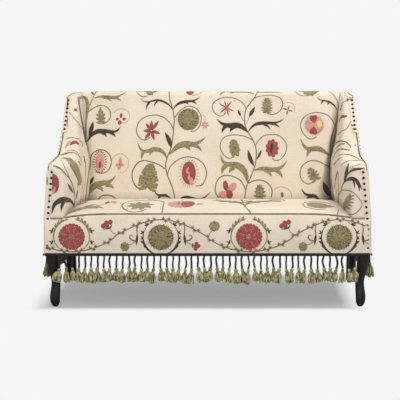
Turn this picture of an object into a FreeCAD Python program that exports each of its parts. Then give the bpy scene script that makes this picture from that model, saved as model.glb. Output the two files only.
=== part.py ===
"""Two-seater upholstered sofa with shallow wings, swept arms, cabriole legs and a tassel fringe.

All sizes are in millimetres. +Z is up, the sofa faces -Y, and +X is to the right of someone who
looks at its front. The wooden frame is modelled joint by joint, then the springing, the stuffing,
the covers and the trimming are laid over it, each as a solid of its own.
"""
import FreeCAD
import Part
import math
import os

os.makedirs("parts", exist_ok=True)
V = FreeCAD.Vector

# Overall sizes
sofa_width = 1400.0
leg_height = 232.0
back_height = 913.0
depth_at_base = 690.0
depth_at_top = 745.0

# Seat
border_top = 400.0
border_end_drop = 16.0
border_bottom = 232.0
border_thickness = 12.0
edge_straight_half = 430.0
seat_crown = 425.0
seat_rear_height = 415.0
seat_front_height = 404.0
seat_back_gap = 3.0
seat_crown_at = 260.0
seat_edge_radius = 12.0

# Arms and wings
arm_height = 618.0
arm_rear_height = 640.0
swoop_run = 133.0
swoop_radius = 170.0
wing_depth = 269.0
wing_drop = 13.0
wing_corner_radius = 30.0
arm_corner_radius = 28.0
arm_lean = 3.5
arm_thickness_front = 84.0
arm_thickness_rear = 110.0
arm_taper = 62.0
arm_inner_round = 26.0

# Back
back_thickness_bottom = 165.0
back_thickness_top = 123.0
back_bulge = 9.0
back_top_round = 24.0

# Wooden frame
rail_top = 340.0
rail_underside = 246.0
rail_thickness = 30.0
side_rail_thickness = 40.0
tack_rail_height = 40.0
frame_width = 35.0
arm_frame_depth = 38.0
back_frame_depth = 40.0
back_rail_height = 60.0
back_tack_rail_bottom = 432.0
upright_width = 50.0
wing_post_lead = 71.0
wing_post_width = 40.0
tenon_length = 16.0
tenon_thickness = 12.0
tenon_shoulder = 18.0
block_size = 52.0
corner_block_leg = 60.0
corner_block_margin = 16.0
over_frame_padding = 6.0

# Legs
knee_width = 54.0
knee_height = 205.0
knee_taper = 1.5
knee_shift = 1.0
calf_width = 46.0
calf_height = 160.0
calf_shift = 7.0
ankle_width = 38.0
ankle_height = 105.0
ankle_shift = 15.0
foot_width = 43.0
foot_height = 46.0
foot_shift = 11.0
pad_width = 36.0
pad_height = 12.0
pad_shift = 12.6
tip_width = 20.0
tip_shift = 13.5
leg_steps = 4
leg_corner_cut = 0.42
rear_leg_width = 44.0
rear_leg_toe = 30.0
rear_leg_splay = 52.0
rear_leg_sweep = 9.0

# Springing and cloths
web_width = 50.0
web_thickness = 2.0
web_margin = 80.0
web_row_inset = 10.0
web_column_inset = 5.0
web_columns = 9
web_rows = 4
spring_columns = 5
spring_rows = 3
spring_radius = 42.0
spring_waist = 26.0
hessian_thickness = 2.0
hessian_inset = 5.0
bottom_cloth_thickness = 1.5
bottom_cloth_side_inset = 5.0
bottom_cloth_end_inset = 10.0
bottom_cloth_gap = 2.0
back_pad_lift = 3.0
spring_margin_side = 175.0
spring_margin_end = 95.0
edge_roll_depth = 40.0
edge_roll_height = 42.0
edge_roll_round = 17.0
edge_roll_half = 600.0

# Covers, piping and nails
arm_cover_thickness = 10.0
back_cover_thickness = 10.0
seat_cover_thickness = 8.0
outside_thickness = 5.0
return_thickness = 3.0
return_width = 28.0
piping_radius = 3.5
soft_gap = 0.3
nail_radius = 5.5
nail_top_radius = 3.0
nail_rise = 2.6
arm_nail_pitch = 25.0
wing_nail_pitch = 21.0
nail_inset_top = 23.0
nail_inset_bottom = 14.0
wing_nail_inset = 12.0
side_nail_inset = 12.0

# Tassel fringe
heading_height = 12.0
heading_drop = 8.0
heading_thickness = 3.0
hanger_length = 48.0
hanger_thickness = 5.5
tassel_pitch = 26.8
tassel_length = 66.0
tassel_radius = 12.6
tassel_knob_radius = 6.5
tassel_knob_drop = 8.0
tassel_neck_radius = 5.0
tassel_neck_drop = 17.0
fringe_stand_off = 8.0
side_stand_off = 2.5
fringe_half_span = 630.0
side_fringe_start = 110.0
side_fringe_margin = 80.0

# Lengths that a shape runs on past the cut that finishes it
run_on = 60.0
run_down = 90.0

# Lines that follow from these sizes
half = sofa_width / 2.0
seam_height = border_top - border_end_drop
back_face_bottom = depth_at_base - back_thickness_bottom
back_face_top = depth_at_top - back_thickness_top
seat_depth = back_face_bottom - seat_back_gap
wing_front = depth_at_top - wing_depth
wing_front_height = back_height - wing_drop
swoop_start = wing_front - swoop_run
wing_post_start = wing_front - wing_post_lead
side_fringe_end = depth_at_base - side_fringe_margin
frame_out = half - outside_thickness
frame_in = frame_out - frame_width
far = 2.0 * sofa_width
nodes = {}


def box(x0, x1, y0, y1, z0, z1):
    return Part.makeBox(x1 - x0, y1 - y0, z1 - z0, V(x0, y0, z0))


def mirrored(shape):
    return shape.mirror(V(0, 0, 0), V(1, 0, 0))


def add_pair(name, right):
    nodes[name + "_right"] = right
    nodes[name + "_left"] = mirrored(right)


def rounded_wire(corners, place):
    """Closed wire through (u, v, radius) corners, with a tangent arc at each corner that has a radius."""
    count = len(corners)
    starts, mids, ends = [], [], []
    for i in range(count):
        u, v, r = corners[i]
        here = V(u, v, 0)
        before = V(corners[i - 1][0], corners[i - 1][1], 0) - here
        after = V(corners[(i + 1) % count][0], corners[(i + 1) % count][1], 0) - here
        if r <= 0:
            starts.append(here)
            mids.append(None)
            ends.append(here)
            continue
        before.normalize()
        after.normalize()
        half_angle = before.getAngle(after) / 2.0
        reach = r / math.tan(half_angle)
        bisector = before + after
        bisector.normalize()
        centre = here + bisector * (r / math.sin(half_angle))
        starts.append(here + before * reach)
        mids.append(centre - bisector * r)
        ends.append(here + after * reach)
    edges = []
    for i in range(count):
        if mids[i] is not None:
            points = [place(p.x, p.y) for p in (starts[i], mids[i], ends[i])]
            edges.append(Part.Arc(*points).toShape())
        a = ends[i]
        b = starts[(i + 1) % count]
        if (b - a).Length > 1e-6:
            edges.append(Part.makeLine(place(a.x, a.y), place(b.x, b.y)))
    return Part.Wire(edges)


def lean(shape):
    """Tilt a right-hand arm piece inwards about the outer edge at the seam height."""
    leaned = shape.copy()
    leaned.rotate(V(half, 0, seam_height), V(0, 1, 0), -arm_lean)
    return leaned


def above(shape, z):
    return shape.common(box(-far, far, -far, far, z, far))


def rear_y(z):
    share = (z - border_bottom) / (back_height - border_bottom)
    return depth_at_base + (depth_at_top - depth_at_base) * share


def behind(offset):
    """Everything behind the sloping rear plane of the sofa, moved forward by an offset."""
    low = V(-far, rear_y(-far) - offset, -far)
    high = V(-far, rear_y(far) - offset, far)
    wire = Part.makePolygon([low, high, V(-far, 2 * far, far), V(-far, 2 * far, -far), low])
    return Part.Face(wire).extrude(V(2 * far, 0, 0))


def beyond(x_from):
    """Everything outside an upright plane that turns inwards with the arm above the seam."""
    lower = box(x_from, far, -far, far, -far, seam_height)
    upper = above(lean(box(x_from, far, -far, far, seam_height - run_down, far)), seam_height)
    return lower.fuse(upper)


def cut_both_sides(shape, tool):
    return shape.cut(tool).cut(mirrored(tool))


def ring(x, y, z, radius, sides):
    turn = 2.0 * math.pi / sides
    return [V(x + radius * math.cos(turn * i), y + radius * math.sin(turn * i), z) for i in range(sides)]


def faceted(rings):
    """Solid with flat sides between rings that each have the same number of points."""
    flats = [Part.Face(Part.makePolygon(r + r[:1])) for r in (rings[0], rings[-1])]
    count = len(rings[0])
    for low, high in zip(rings, rings[1:]):
        for i in range(count):
            j = (i + 1) % count
            flats.append(Part.Face(Part.makePolygon([low[i], low[j], high[j], high[i], low[i]])))
    solid = Part.Solid(Part.Shell(flats))
    if solid.Volume < 0:
        solid.reverse()
    return solid


# Arms with wings
def side_slab(inset, x0, x1):
    """Slice of the side outline, made smaller all round except at the rear, which runs on."""
    bottom = rail_top - run_down
    corners = [
        (0.0, bottom, 0.0),
        (0.0, arm_height, arm_corner_radius),
        (swoop_start, arm_rear_height, swoop_radius),
        (wing_front, wing_front_height, wing_corner_radius),
        (depth_at_top + run_on, back_height, 0.0),
        (rear_y(bottom) + run_on, bottom, 0.0),
    ]
    wire = rounded_wire(corners, lambda u, v: V(x0, u, v))
    if inset > 0:
        wire = wire.makeOffset2D(-inset)
    return Part.Face(wire).extrude(V(x1 - x0, 0, 0))


def arm_wedge(inset, start):
    """Solid bounded by the sloping inner face of an arm and open towards the outside."""
    low = seam_height - run_down
    rise = back_height + run_on - low
    slope = arm_taper / (back_height - seam_height)
    turn = (arm_thickness_rear - arm_thickness_front) / back_face_bottom
    inner = half - arm_thickness_front - run_down * slope + inset
    end = depth_at_top + run_on
    corners = [
        V(half + run_down, start, low),
        V(inner - turn * start, start, low),
        V(inner - turn * end, end, low),
        V(half + run_down, end, low),
    ]
    return Part.Face(Part.makePolygon(corners + corners[:1])).extrude(V(rise * slope, 0, rise))


def arm_space(clearance):
    """Room that an arm takes up inside the sofa, for the seat and the back to stay clear of."""
    return above(lean(arm_wedge(-clearance, -run_on)), seam_height)


def arm_form(inset, round_over):
    start = return_thickness + inset
    form = side_slab(start, half - 2.0 * arm_thickness_rear, frame_out).common(arm_wedge(inset, start)).removeSplitter()
    if round_over > 0:
        inner = min(form.Faces, key=lambda face: face.CenterOfMass.x)
        middles = [(e, e.CenterOfMass) for e in inner.Edges]
        line = [e for e, middle in middles if middle.z > seam_height and middle.y < rear_y(middle.z)]
        form = form.makeFillet(round_over, line)
    return form


def seated(shape):
    """Lean an arm piece and finish it level on the seam and flush with the rear."""
    return above(lean(shape), seam_height).cut(behind(outside_thickness))


frame_inset = return_thickness + arm_cover_thickness + over_frame_padding
frame_slab = side_slab(frame_inset, frame_in, frame_out)
frame_core = side_slab(frame_inset + arm_frame_depth, frame_in, frame_out)
post_rear = frame_inset + arm_frame_depth
lining_x = frame_in - hessian_thickness
back_frame_line = outside_thickness + back_frame_depth
web_line = back_frame_line + web_thickness
lining_line = web_line + hessian_thickness
frame_top = back_height - back_cover_thickness - over_frame_padding
frame_room = behind(lining_line).common(box(-half, half, -far, far, -far, frame_top))
back_room = frame_room.cut(beyond(frame_in))


def arm_frame(shape, bottom):
    """Lean a frame piece, level its foot and keep it inside the outer covering."""
    return above(lean(shape), bottom).cut(beyond(frame_out)).cut(behind(outside_thickness))


arm_post = arm_frame(frame_slab.common(box(0, far, -far, post_rear, 0, far)), rail_top)
arm_rail = frame_slab.cut(frame_core).cut(box(0, far, -far, post_rear, 0, far)).cut(behind(back_frame_line))
arm_rail = arm_frame(above(arm_rail, seam_height + tack_rail_height), seam_height)
arm_tack_rail = box(frame_in, frame_out, post_rear, far, seam_height - 40.0, seam_height + tack_rail_height)
arm_tack_rail = arm_frame(arm_tack_rail.cut(behind(back_frame_line)), seam_height)
wing_post_end = wing_post_start + wing_post_width
wing_post = box(0, far, wing_post_start, wing_post_end, seam_height + tack_rail_height, far)
wing_post = frame_core.common(wing_post)
wing_post = arm_frame(wing_post, seam_height)
back_post = arm_frame(frame_slab.common(behind(back_frame_line)), rail_top)
arm_stuffing = arm_form(arm_cover_thickness, 0.0)
arm_cover = arm_form(0.0, arm_inner_round).cut(arm_stuffing)
arm_hessian = side_slab(frame_inset, lining_x, frame_in).common(arm_stuffing)
arm_stuffing = arm_stuffing.cut(side_slab(frame_inset, lining_x, far))
add_pair("arm_post", arm_post)
add_pair("arm_rail", arm_rail)
add_pair("arm_tack_rail", arm_tack_rail)
add_pair("wing_post", wing_post)
add_pair("back_post", back_post)
add_pair("arm_hessian", seated(arm_hessian).cut(back_room))
add_pair("arm_stuffing", seated(arm_stuffing).cut(back_room))
add_pair("arm_cover", seated(arm_cover).cut(back_room))

# Outer side covering, with its turned edge down the arm front and the wing front
side_skin = side_slab(0.0, frame_out, half)
side_band = side_slab(0.0, half - return_width, frame_out).cut(side_slab(return_thickness, 0.0, far))
arm_front_edge = side_band.common(box(0, far, -far, arm_corner_radius, 0, arm_height - arm_corner_radius))
rise = wing_front_height - arm_rear_height
run = wing_front - swoop_start
slope_length = math.hypot(run, rise)
slope_angle = math.atan2(rise, run)
swoop_reach = swoop_radius * math.tan(slope_angle / 2.0)
corner_reach = wing_corner_radius * math.tan(slope_angle / 2.0)


def slope_point(distance, depth=0.0):
    """Point on the front slope of the wing, measured up from the start of the swoop."""
    y = swoop_start + distance * math.cos(slope_angle) + depth * math.sin(slope_angle)
    z = arm_rear_height + distance * math.sin(slope_angle) - depth * math.cos(slope_angle)
    return y, z


slope_low = slope_point(swoop_reach)[1]
slope_high = slope_point(slope_length - corner_reach)[1]
wing_edge = side_band.common(box(0, far, swoop_start, wing_front + wing_corner_radius, slope_low, slope_high))
outer = above(lean(side_skin.fuse(arm_front_edge).fuse(wing_edge)), seam_height)
lower_skin = box(frame_out, half, 0.0, far, border_bottom, seam_height)
heading_bottom = border_bottom - heading_drop
heading_top = heading_bottom + heading_height
lower_edge = box(half - return_width, frame_out, 0.0, return_thickness, heading_top, seam_height)
outside_arm = outer.fuse(lower_skin).fuse(lower_edge).cut(behind(0.0)).removeSplitter()
add_pair("outside_arm", outside_arm)

# Seat rails and legs
front_line = border_thickness
block_inner = frame_out - block_size
block_rear = front_line + block_size
rear_block_rear = min(depth_at_base, rear_y(rail_top)) - outside_thickness
rear_block_front = rear_block_rear - block_size
rear_block_inner = frame_out - rear_leg_width
tenon_low = rail_underside + tenon_shoulder
tenon_high = rail_top - tenon_shoulder
tenon_side = (frame_out - tenon_shoulder - tenon_thickness, frame_out - tenon_shoulder)


def cross_rail(y0, y1, inner):
    front = (y0 + y1 - tenon_thickness) / 2.0
    rail = box(-inner, inner, y0, y1, rail_underside, rail_top)
    reach = inner + tenon_length
    tenon = box(-reach, reach, front, front + tenon_thickness, tenon_low, tenon_high)
    return rail.fuse(tenon).removeSplitter()


front_rail = cross_rail(front_line, front_line + rail_thickness, block_inner)
rear_rail = cross_rail(rear_block_rear - rail_thickness, rear_block_rear, rear_block_inner)
side_inner = frame_out - side_rail_thickness
side_rail = box(side_inner, frame_out, block_rear, rear_block_front, rail_underside, rail_top)
side_tenon = box(tenon_side[0], tenon_side[1], block_rear - tenon_length, rear_block_front + tenon_length,
                 tenon_low, tenon_high)
side_rail = side_rail.fuse(side_tenon).removeSplitter()
nodes["front_seat_rail"] = front_rail
nodes["rear_seat_rail"] = rear_rail
add_pair("side_seat_rail", side_rail)


def leg_section(height, width, shift):
    """Square with its corners cut off, set in towards the middle of the sofa by the shift."""
    x = (block_inner + frame_out) / 2.0 - shift
    y = (front_line + block_rear) / 2.0 + shift
    b = width / 2.0
    c = b * (1.0 - leg_corner_cut)
    around = [(c, -b), (b, -c), (b, c), (c, b), (-c, b), (-b, c), (-b, -c), (-c, -b)]
    return [V(x + dx, y + dy, height) for dx, dy in around]


def between(before, a, b, after, share):
    """Station on the smooth curve through a and b, with its neighbours on both sides."""
    def blend(p, q, r, s):
        bend = 2.0 * p - 5.0 * q + 4.0 * r - s
        twist = 3.0 * (q - r) + s - p
        return q + ((r - p) * share + bend * share ** 2 + twist * share ** 3) / 2.0
    return tuple(blend(*four) for four in zip(before, a, b, after))


stations = [
    (leg_height, knee_width, 0.0),
    (knee_height, knee_width - knee_taper, knee_shift),
    (calf_height, calf_width, calf_shift),
    (ankle_height, ankle_width, ankle_shift),
    (foot_height, foot_width, foot_shift),
    (pad_height, pad_width, pad_shift),
    (0.0, tip_width, tip_shift),
]
sections = []
for i in range(len(stations) - 1):
    four = (stations[max(i - 1, 0)], stations[i], stations[i + 1], stations[min(i + 2, len(stations) - 1)])
    sections += [leg_section(*between(*four, step / leg_steps)) for step in range(leg_steps)]
sections.append(leg_section(*stations[-1]))
front_leg = faceted(sections[::-1])
front_block = box(block_inner, frame_out, front_line, block_rear, leg_height, rail_top)
front_leg = front_leg.fuse(front_block).cut(front_rail).cut(side_rail)
add_pair("front_leg", front_leg)

toe_rear = rear_block_rear + rear_leg_splay
toe_front = toe_rear - rear_leg_toe
rear_edge = Part.Arc(V(0, rear_block_rear, leg_height),
                     V(0, (rear_block_rear + toe_rear) / 2.0 - rear_leg_sweep, leg_height / 2.0),
                     V(0, toe_rear, 0)).toShape()
front_edge = Part.Arc(V(0, toe_front, 0),
                      V(0, (rear_block_front + toe_front) / 2.0 - rear_leg_sweep, leg_height / 2.0),
                      V(0, rear_block_front, leg_height)).toShape()
sole = Part.makeLine(V(0, toe_rear, 0), V(0, toe_front, 0))
head_line = Part.makeLine(V(0, rear_block_front, leg_height), V(0, rear_block_rear, leg_height))
sabre = Part.Face(Part.Wire([rear_edge, sole, front_edge, head_line]))
sabre.translate(V(rear_block_inner, 0, 0))
rear_leg = sabre.extrude(V(rear_leg_width, 0, 0))
rear_block = box(rear_block_inner, frame_out, rear_block_front, rear_block_rear, leg_height, rail_top)
rear_leg = rear_leg.fuse(rear_block).cut(rear_rail).cut(side_rail)
add_pair("rear_leg", rear_leg)


def corner_block(points):
    wire = Part.makePolygon([V(x, y, rail_underside + corner_block_margin) for x, y in points + points[:1]])
    return Part.Face(wire).extrude(V(0, 0, rail_top - rail_underside - 2 * corner_block_margin))


front_inner = front_line + rail_thickness
rear_inner = rear_block_rear - rail_thickness
reach = corner_block_leg
block_front = corner_block([(side_inner, block_rear), (side_inner, block_rear + reach),
                            (block_inner - reach, front_inner), (block_inner, front_inner),
                            (block_inner, block_rear)])
block_back = corner_block([(side_inner, rear_block_front), (rear_block_inner, rear_block_front),
                           (rear_block_inner, rear_inner), (rear_block_inner - reach, rear_inner),
                           (side_inner, rear_block_front - reach)])
blocks = [block_front, mirrored(block_front), block_back, mirrored(block_back)]
nodes["corner_blocks"] = Part.makeCompound(blocks)

# Back frame
back_frame_space = behind(back_frame_line).cut(behind(outside_thickness))


def back_rail(z0, z1, x0=-half, x1=half):
    rail = back_frame_space.common(box(x0, x1, -far, far, z0, z1))
    return cut_both_sides(rail, beyond(frame_in))


top_rail_bottom = frame_top - back_rail_height
tack_rail_top = back_tack_rail_bottom + back_rail_height
nodes["back_top_rail"] = back_rail(top_rail_bottom, frame_top)
nodes["back_tack_rail"] = back_rail(back_tack_rail_bottom, tack_rail_top)
nodes["back_upright"] = back_rail(tack_rail_top, top_rail_bottom, -upright_width / 2.0, upright_width / 2.0)

# Springing: webs under the seat, springs on them and hessian over the springs
web_rows_low = rail_underside - web_thickness
web_columns_low = web_rows_low - web_thickness
row_first = front_line + web_margin
row_step = (rear_inner - front_line - 2 * web_margin) / (web_rows - 1)
column_first = -block_inner + web_margin
column_step = (2 * block_inner - 2 * web_margin) / (web_columns - 1)
webs = []
for i in range(web_rows):
    y = row_first + i * row_step - web_width / 2.0
    row_half = frame_out - web_row_inset
    webs.append(box(-row_half, row_half, y, y + web_width, web_rows_low, rail_underside))
for i in range(web_columns):
    x = column_first + i * column_step - web_width / 2.0
    webs.append(box(x, x + web_width, front_line + web_column_inset, rear_block_rear - web_column_inset,
                    web_columns_low, web_rows_low))
nodes["seat_webbing"] = Part.makeCompound(webs)


def spring(x, y):
    middle = (rail_underside + rail_top) / 2.0
    return faceted([ring(x, y, rail_underside, spring_radius, 8), ring(x, y, middle, spring_waist, 8),
                    ring(x, y, rail_top, spring_radius, 8)])


span_x = 2.0 * (frame_out - spring_margin_side)
span_y = rear_inner - front_inner - 2.0 * spring_margin_end
springs = []
for i in range(spring_columns):
    for j in range(spring_rows):
        x = -span_x / 2.0 + i * span_x / (spring_columns - 1)
        y = front_inner + spring_margin_end + j * span_y / (spring_rows - 1)
        springs.append(spring(x, y))
nodes["seat_springs"] = Part.makeCompound(springs)
hessian_top = rail_top + hessian_thickness
hessian_half = frame_in - hessian_thickness
nodes["seat_hessian"] = box(-hessian_half, hessian_half, front_line + hessian_inset,
                            rear_block_front - hessian_inset, rail_top, hessian_top)

# Seat: a crowned pad that droops towards the arms
droop_run = half - arm_thickness_front - edge_straight_half
droop_radius = (droop_run ** 2 + border_end_drop ** 2) / (2.0 * border_end_drop)


def droop(x):
    return droop_radius - math.sqrt(droop_radius ** 2 - (abs(x) - edge_straight_half) ** 2)


def crown_height(y):
    before = (seat_crown_at - y) / seat_crown_at
    after = (y - seat_crown_at) / (seat_depth - seat_crown_at)
    if y < seat_crown_at:
        return seat_crown - (seat_crown - seat_front_height) * before ** 2
    return seat_crown - (seat_crown - seat_rear_height) * after ** 2


def drooping_line(top, y, x_end):
    """Right end arc, level middle and left end arc of a line that droops towards the arms."""
    def right(x):
        return V(x, y, top - droop(x))

    def left(x):
        return V(-x, y, top - droop(x))
    middle = (edge_straight_half + x_end) / 2.0
    return [
        Part.Arc(right(x_end), right(middle), right(edge_straight_half)).toShape(),
        Part.makeLine(right(edge_straight_half), left(edge_straight_half)),
        Part.Arc(left(edge_straight_half), left(middle), left(x_end)).toShape(),
    ]


def seat_section(y, top, half_width, bottom, plain):
    """Upright section through the seat. The plain one has straight droops instead of arcs."""
    end = top - droop(half_width)
    edges = [Part.makeLine(V(-half_width, y, bottom), V(half_width, y, bottom)),
             Part.makeLine(V(half_width, y, bottom), V(half_width, y, end))]
    if plain:
        points = [V(half_width, y, end), V(edge_straight_half, y, top), V(-edge_straight_half, y, top),
                  V(-half_width, y, end)]
        edges += [Part.makeLine(p, q) for p, q in zip(points, points[1:])]
    else:
        edges += drooping_line(top, y, half_width)
    edges.append(Part.makeLine(V(-half_width, y, end), V(-half_width, y, bottom)))
    return Part.Wire(edges)


def seat_form(inset, bottom, plain):
    """Crowned seat, rounded over at the front. The plain form fits inside the other."""
    half_width = hessian_half - inset
    front = front_line + soft_gap + inset
    body_front = front + (0.0 if plain else seat_edge_radius)
    stops = [body_front, seat_crown_at, seat_depth - inset]
    if not plain:
        stops = [body_front, (front + seat_crown_at) / 2.0, seat_crown_at,
                 (seat_crown_at + seat_depth) / 2.0, seat_depth]
    sections = [seat_section(y, crown_height(y) - inset, half_width, bottom, plain) for y in stops]
    form = Part.makeLoft(sections, True, plain)
    if not plain:
        nose = []
        for turn in (0.0, 30.0, 60.0, 90.0):
            angle = math.radians(turn)
            y = body_front - seat_edge_radius * math.cos(angle)
            top = crown_height(body_front) - seat_edge_radius * (1.0 - math.sin(angle))
            nose.append(seat_section(y, top, half_width, bottom, False))
        form = form.fuse(Part.makeLoft(nose, True, True))
    return cut_both_sides(form, arm_space(soft_gap + inset))


seat_inner = seat_form(seat_cover_thickness, hessian_top - run_on, True)
seat_outer = seat_form(0.0, hessian_top, False)
nodes["seat_cover"] = seat_outer.cut(seat_inner)
roll_front = front_line + soft_gap + seat_cover_thickness
roll_corners = [
    (roll_front, hessian_top, 0.0),
    (roll_front, hessian_top + edge_roll_height, edge_roll_round),
    (roll_front + edge_roll_depth, hessian_top + edge_roll_height, edge_roll_round),
    (roll_front + edge_roll_depth, hessian_top, 0.0),
]
roll = Part.Face(rounded_wire(roll_corners, lambda u, v: V(-edge_roll_half, u, v)))
roll = roll.extrude(V(2.0 * edge_roll_half, 0, 0)).common(seat_inner)
nodes["seat_edge_roll"] = roll
nodes["seat_stuffing"] = above(seat_inner, hessian_top).cut(roll)

# Front border panel under the seat edge and the arm fronts, with its piping
border_end = half - arm_thickness_front
piping_z = border_top + piping_radius + soft_gap
outline = drooping_line(border_top, return_thickness, border_end)
around = [(-border_end, seam_height), (-frame_out, seam_height), (-frame_out, border_bottom),
          (frame_out, border_bottom), (frame_out, seam_height), (border_end, seam_height)]
around = [V(x, return_thickness, z) for x, z in around]
outline += [Part.makeLine(p, q) for p, q in zip(around, around[1:])]
border = Part.Face(Part.Wire(outline)).extrude(V(0, front_line - return_thickness, 0))
nodes["front_border"] = border
piping_y = front_line - piping_radius
path = Part.Wire(drooping_line(piping_z, piping_y, border_end - piping_radius))
start = path.Edges[0].valueAt(path.Edges[0].FirstParameter)
tangent = path.Edges[0].tangentAt(path.Edges[0].FirstParameter)
cord = ring(0, 0, 0, piping_radius, 8)
section = Part.makePolygon(cord + cord[:1])
section.Placement = FreeCAD.Placement(start, FreeCAD.Rotation(V(0, 0, 1), tangent))
nodes["seat_edge_piping"] = path.makePipeShell([section], True, False)
base_y = return_thickness - piping_radius - soft_gap
base_ends = []
for x in (border_end, half - return_width - 2.0 * soft_gap):
    base_ends.append([V(x, base_y + p.x, seam_height + p.y) for p in cord])
add_pair("arm_base_piping", faceted(base_ends))

# Back: a firm raked pad between the wings
lowest = hessian_top + back_pad_lift
back_foot = border_top


def back_form(inset, bottom, round_over):
    face_low = V(0, back_face_bottom + inset, back_foot)
    face_high = V(0, back_face_top + inset, back_height - inset)
    middle = (face_low + face_high) / 2.0 - V(0, back_bulge, 0)
    rear = depth_at_top + run_on
    edges = [
        Part.makeLine(V(0, face_low.y, bottom), face_low),
        Part.Arc(face_low, middle, face_high).toShape(),
        Part.makeLine(face_high, V(0, rear, back_height - inset)),
        Part.makeLine(V(0, rear, back_height - inset), V(0, rear, bottom)),
        Part.makeLine(V(0, rear, bottom), V(0, face_low.y, bottom)),
    ]
    width = 2.0 * hessian_half - 2.0 * inset
    wire = Part.Wire(edges)
    wire.translate(V(-width / 2.0, 0, 0))
    form = Part.Face(wire).extrude(V(width, 0, 0))
    form = cut_both_sides(form, arm_space(soft_gap + inset)).removeSplitter()
    if round_over > 0:
        top = [e for e in form.Edges if abs(e.CenterOfMass.y - face_high.y) < 1.0
               and abs(e.CenterOfMass.z - face_high.z) < 1.0]
        form = form.makeFillet(round_over, top)
    return form.cut(behind(outside_thickness))


back_outer = back_form(0.0, lowest, back_top_round)
back_inner = back_form(back_cover_thickness, lowest - run_on, 0.0)
nodes["back_cover"] = back_outer.cut(back_inner).cut(frame_room)
nodes["back_stuffing"] = above(back_inner, lowest).cut(frame_room)
back_lining = behind(lining_line).cut(behind(web_line))
back_lining = back_lining.common(box(-half, half, -far, far, back_tack_rail_bottom, frame_top))
nodes["back_hessian"] = cut_both_sides(back_lining, beyond(frame_in))
web_layer = behind(web_line).cut(behind(back_frame_line))
back_webs = []
for i in range(web_columns):
    x = column_first + i * column_step
    back_webs.append(web_layer.common(box(x - web_width / 2.0, x + web_width / 2.0, -far, far,
                                          back_tack_rail_bottom + web_column_inset,
                                          frame_top - web_column_inset)))
nodes["back_webbing"] = Part.makeCompound(back_webs)

# Outside back and bottom cloth
back_skin = behind(outside_thickness).cut(behind(0.0))
back_skin = back_skin.common(box(-half, half, -far, far, border_bottom, back_height - return_thickness))
nodes["outside_back"] = cut_both_sides(back_skin, beyond(frame_out))
cloth_high = web_columns_low
cloth = box(-frame_out + bottom_cloth_side_inset, frame_out - bottom_cloth_side_inset,
            front_line + bottom_cloth_end_inset, rear_block_rear - bottom_cloth_end_inset,
            cloth_high - bottom_cloth_thickness, cloth_high)
for side in (-1, 1):
    for y0, y1 in ((0.0, block_rear + bottom_cloth_gap), (rear_block_front - bottom_cloth_gap, far)):
        inner_edge = (block_inner - bottom_cloth_gap) * side
        outer_edge = far * side
        cloth = cloth.cut(box(min(inner_edge, outer_edge), max(inner_edge, outer_edge), y0, y1, 0, rail_top))
nodes["bottom_cloth"] = cloth


# Nail heads along the turned edges and the sides
def nail(base, out):
    """Low six-sided head that stands on a surface at a point, facing outwards."""
    out = V(out)
    out.normalize()
    head = faceted([ring(0, 0, 0, nail_radius, 6), ring(0, 0, nail_rise, nail_top_radius, 6)])
    head.Placement = FreeCAD.Placement(base, FreeCAD.Rotation(V(0, 0, 1), out))
    return head


upper_nails = []
front_top = arm_height - arm_corner_radius - nail_radius
count = int((front_top - seam_height) / arm_nail_pitch)
for i in range(count + 1):
    z = front_top - i * arm_nail_pitch
    share = (z - border_bottom) / (front_top - border_bottom)
    x = half - nail_inset_bottom - (nail_inset_top - nail_inset_bottom) * share
    upper_nails.append(nail(V(x, 0, z), V(0, -1, 0)))
low_start = front_top - (count + 1) * arm_nail_pitch
lower_nails = []
z = low_start
while z > heading_top + nail_radius:
    share = (z - border_bottom) / (front_top - border_bottom)
    x = half - nail_inset_bottom - (nail_inset_top - nail_inset_bottom) * share
    lower_nails.append(nail(V(x, 0, z), V(0, -1, 0)))
    z -= arm_nail_pitch
slope_from = swoop_reach + nail_radius
slope_to = slope_length - corner_reach - nail_radius
count = int((slope_to - slope_from) / wing_nail_pitch)
slope_out = V(0, -math.sin(slope_angle), math.cos(slope_angle))
for i in range(count + 1):
    y, z = slope_point(slope_to - i * wing_nail_pitch)
    upper_nails.append(nail(V(half - wing_nail_inset, y, z), slope_out))
track = side_slab(side_nail_inset, half, half + 1.0)
lines = [e for e in track.Edges if abs(e.CenterOfMass.x - half) < 0.01]
for edge in lines:
    middle = edge.CenterOfMass
    if middle.z < arm_height - 2.0 * arm_corner_radius:
        continue
    if middle.y < arm_corner_radius or middle.y > wing_post_start:
        continue
    steps = max(int(round(edge.Length / arm_nail_pitch)), 1)
    for i in range(steps):
        spot = edge.valueAt(edge.getParameterByLength(edge.Length * (i + 0.5) / steps))
        upper_nails.append(nail(V(half, spot.y, spot.z), V(1, 0, 0)))
nails = [lean(n) for n in upper_nails] + lower_nails
add_pair("nailheads", Part.makeCompound(nails))


# Tassel fringe: braid heading, hangers and tassels
def tassel(x, y, top):
    return faceted([
        ring(x, y, top, hanger_thickness, 6),
        ring(x, y, top - tassel_knob_drop, tassel_knob_radius, 6),
        ring(x, y, top - tassel_neck_drop, tassel_neck_radius, 6),
        ring(x, y, top - tassel_length, tassel_radius, 6),
    ])


def hanger(x0, y0, x1, y1):
    def square(x, y, z):
        a = hanger_thickness / 2.0
        return [V(x - a, y - a, z), V(x + a, y - a, z), V(x + a, y + a, z), V(x - a, y + a, z)]
    return faceted([square(x0, y0, heading_bottom), square(x1, y1, heading_bottom - hanger_length)])


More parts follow.
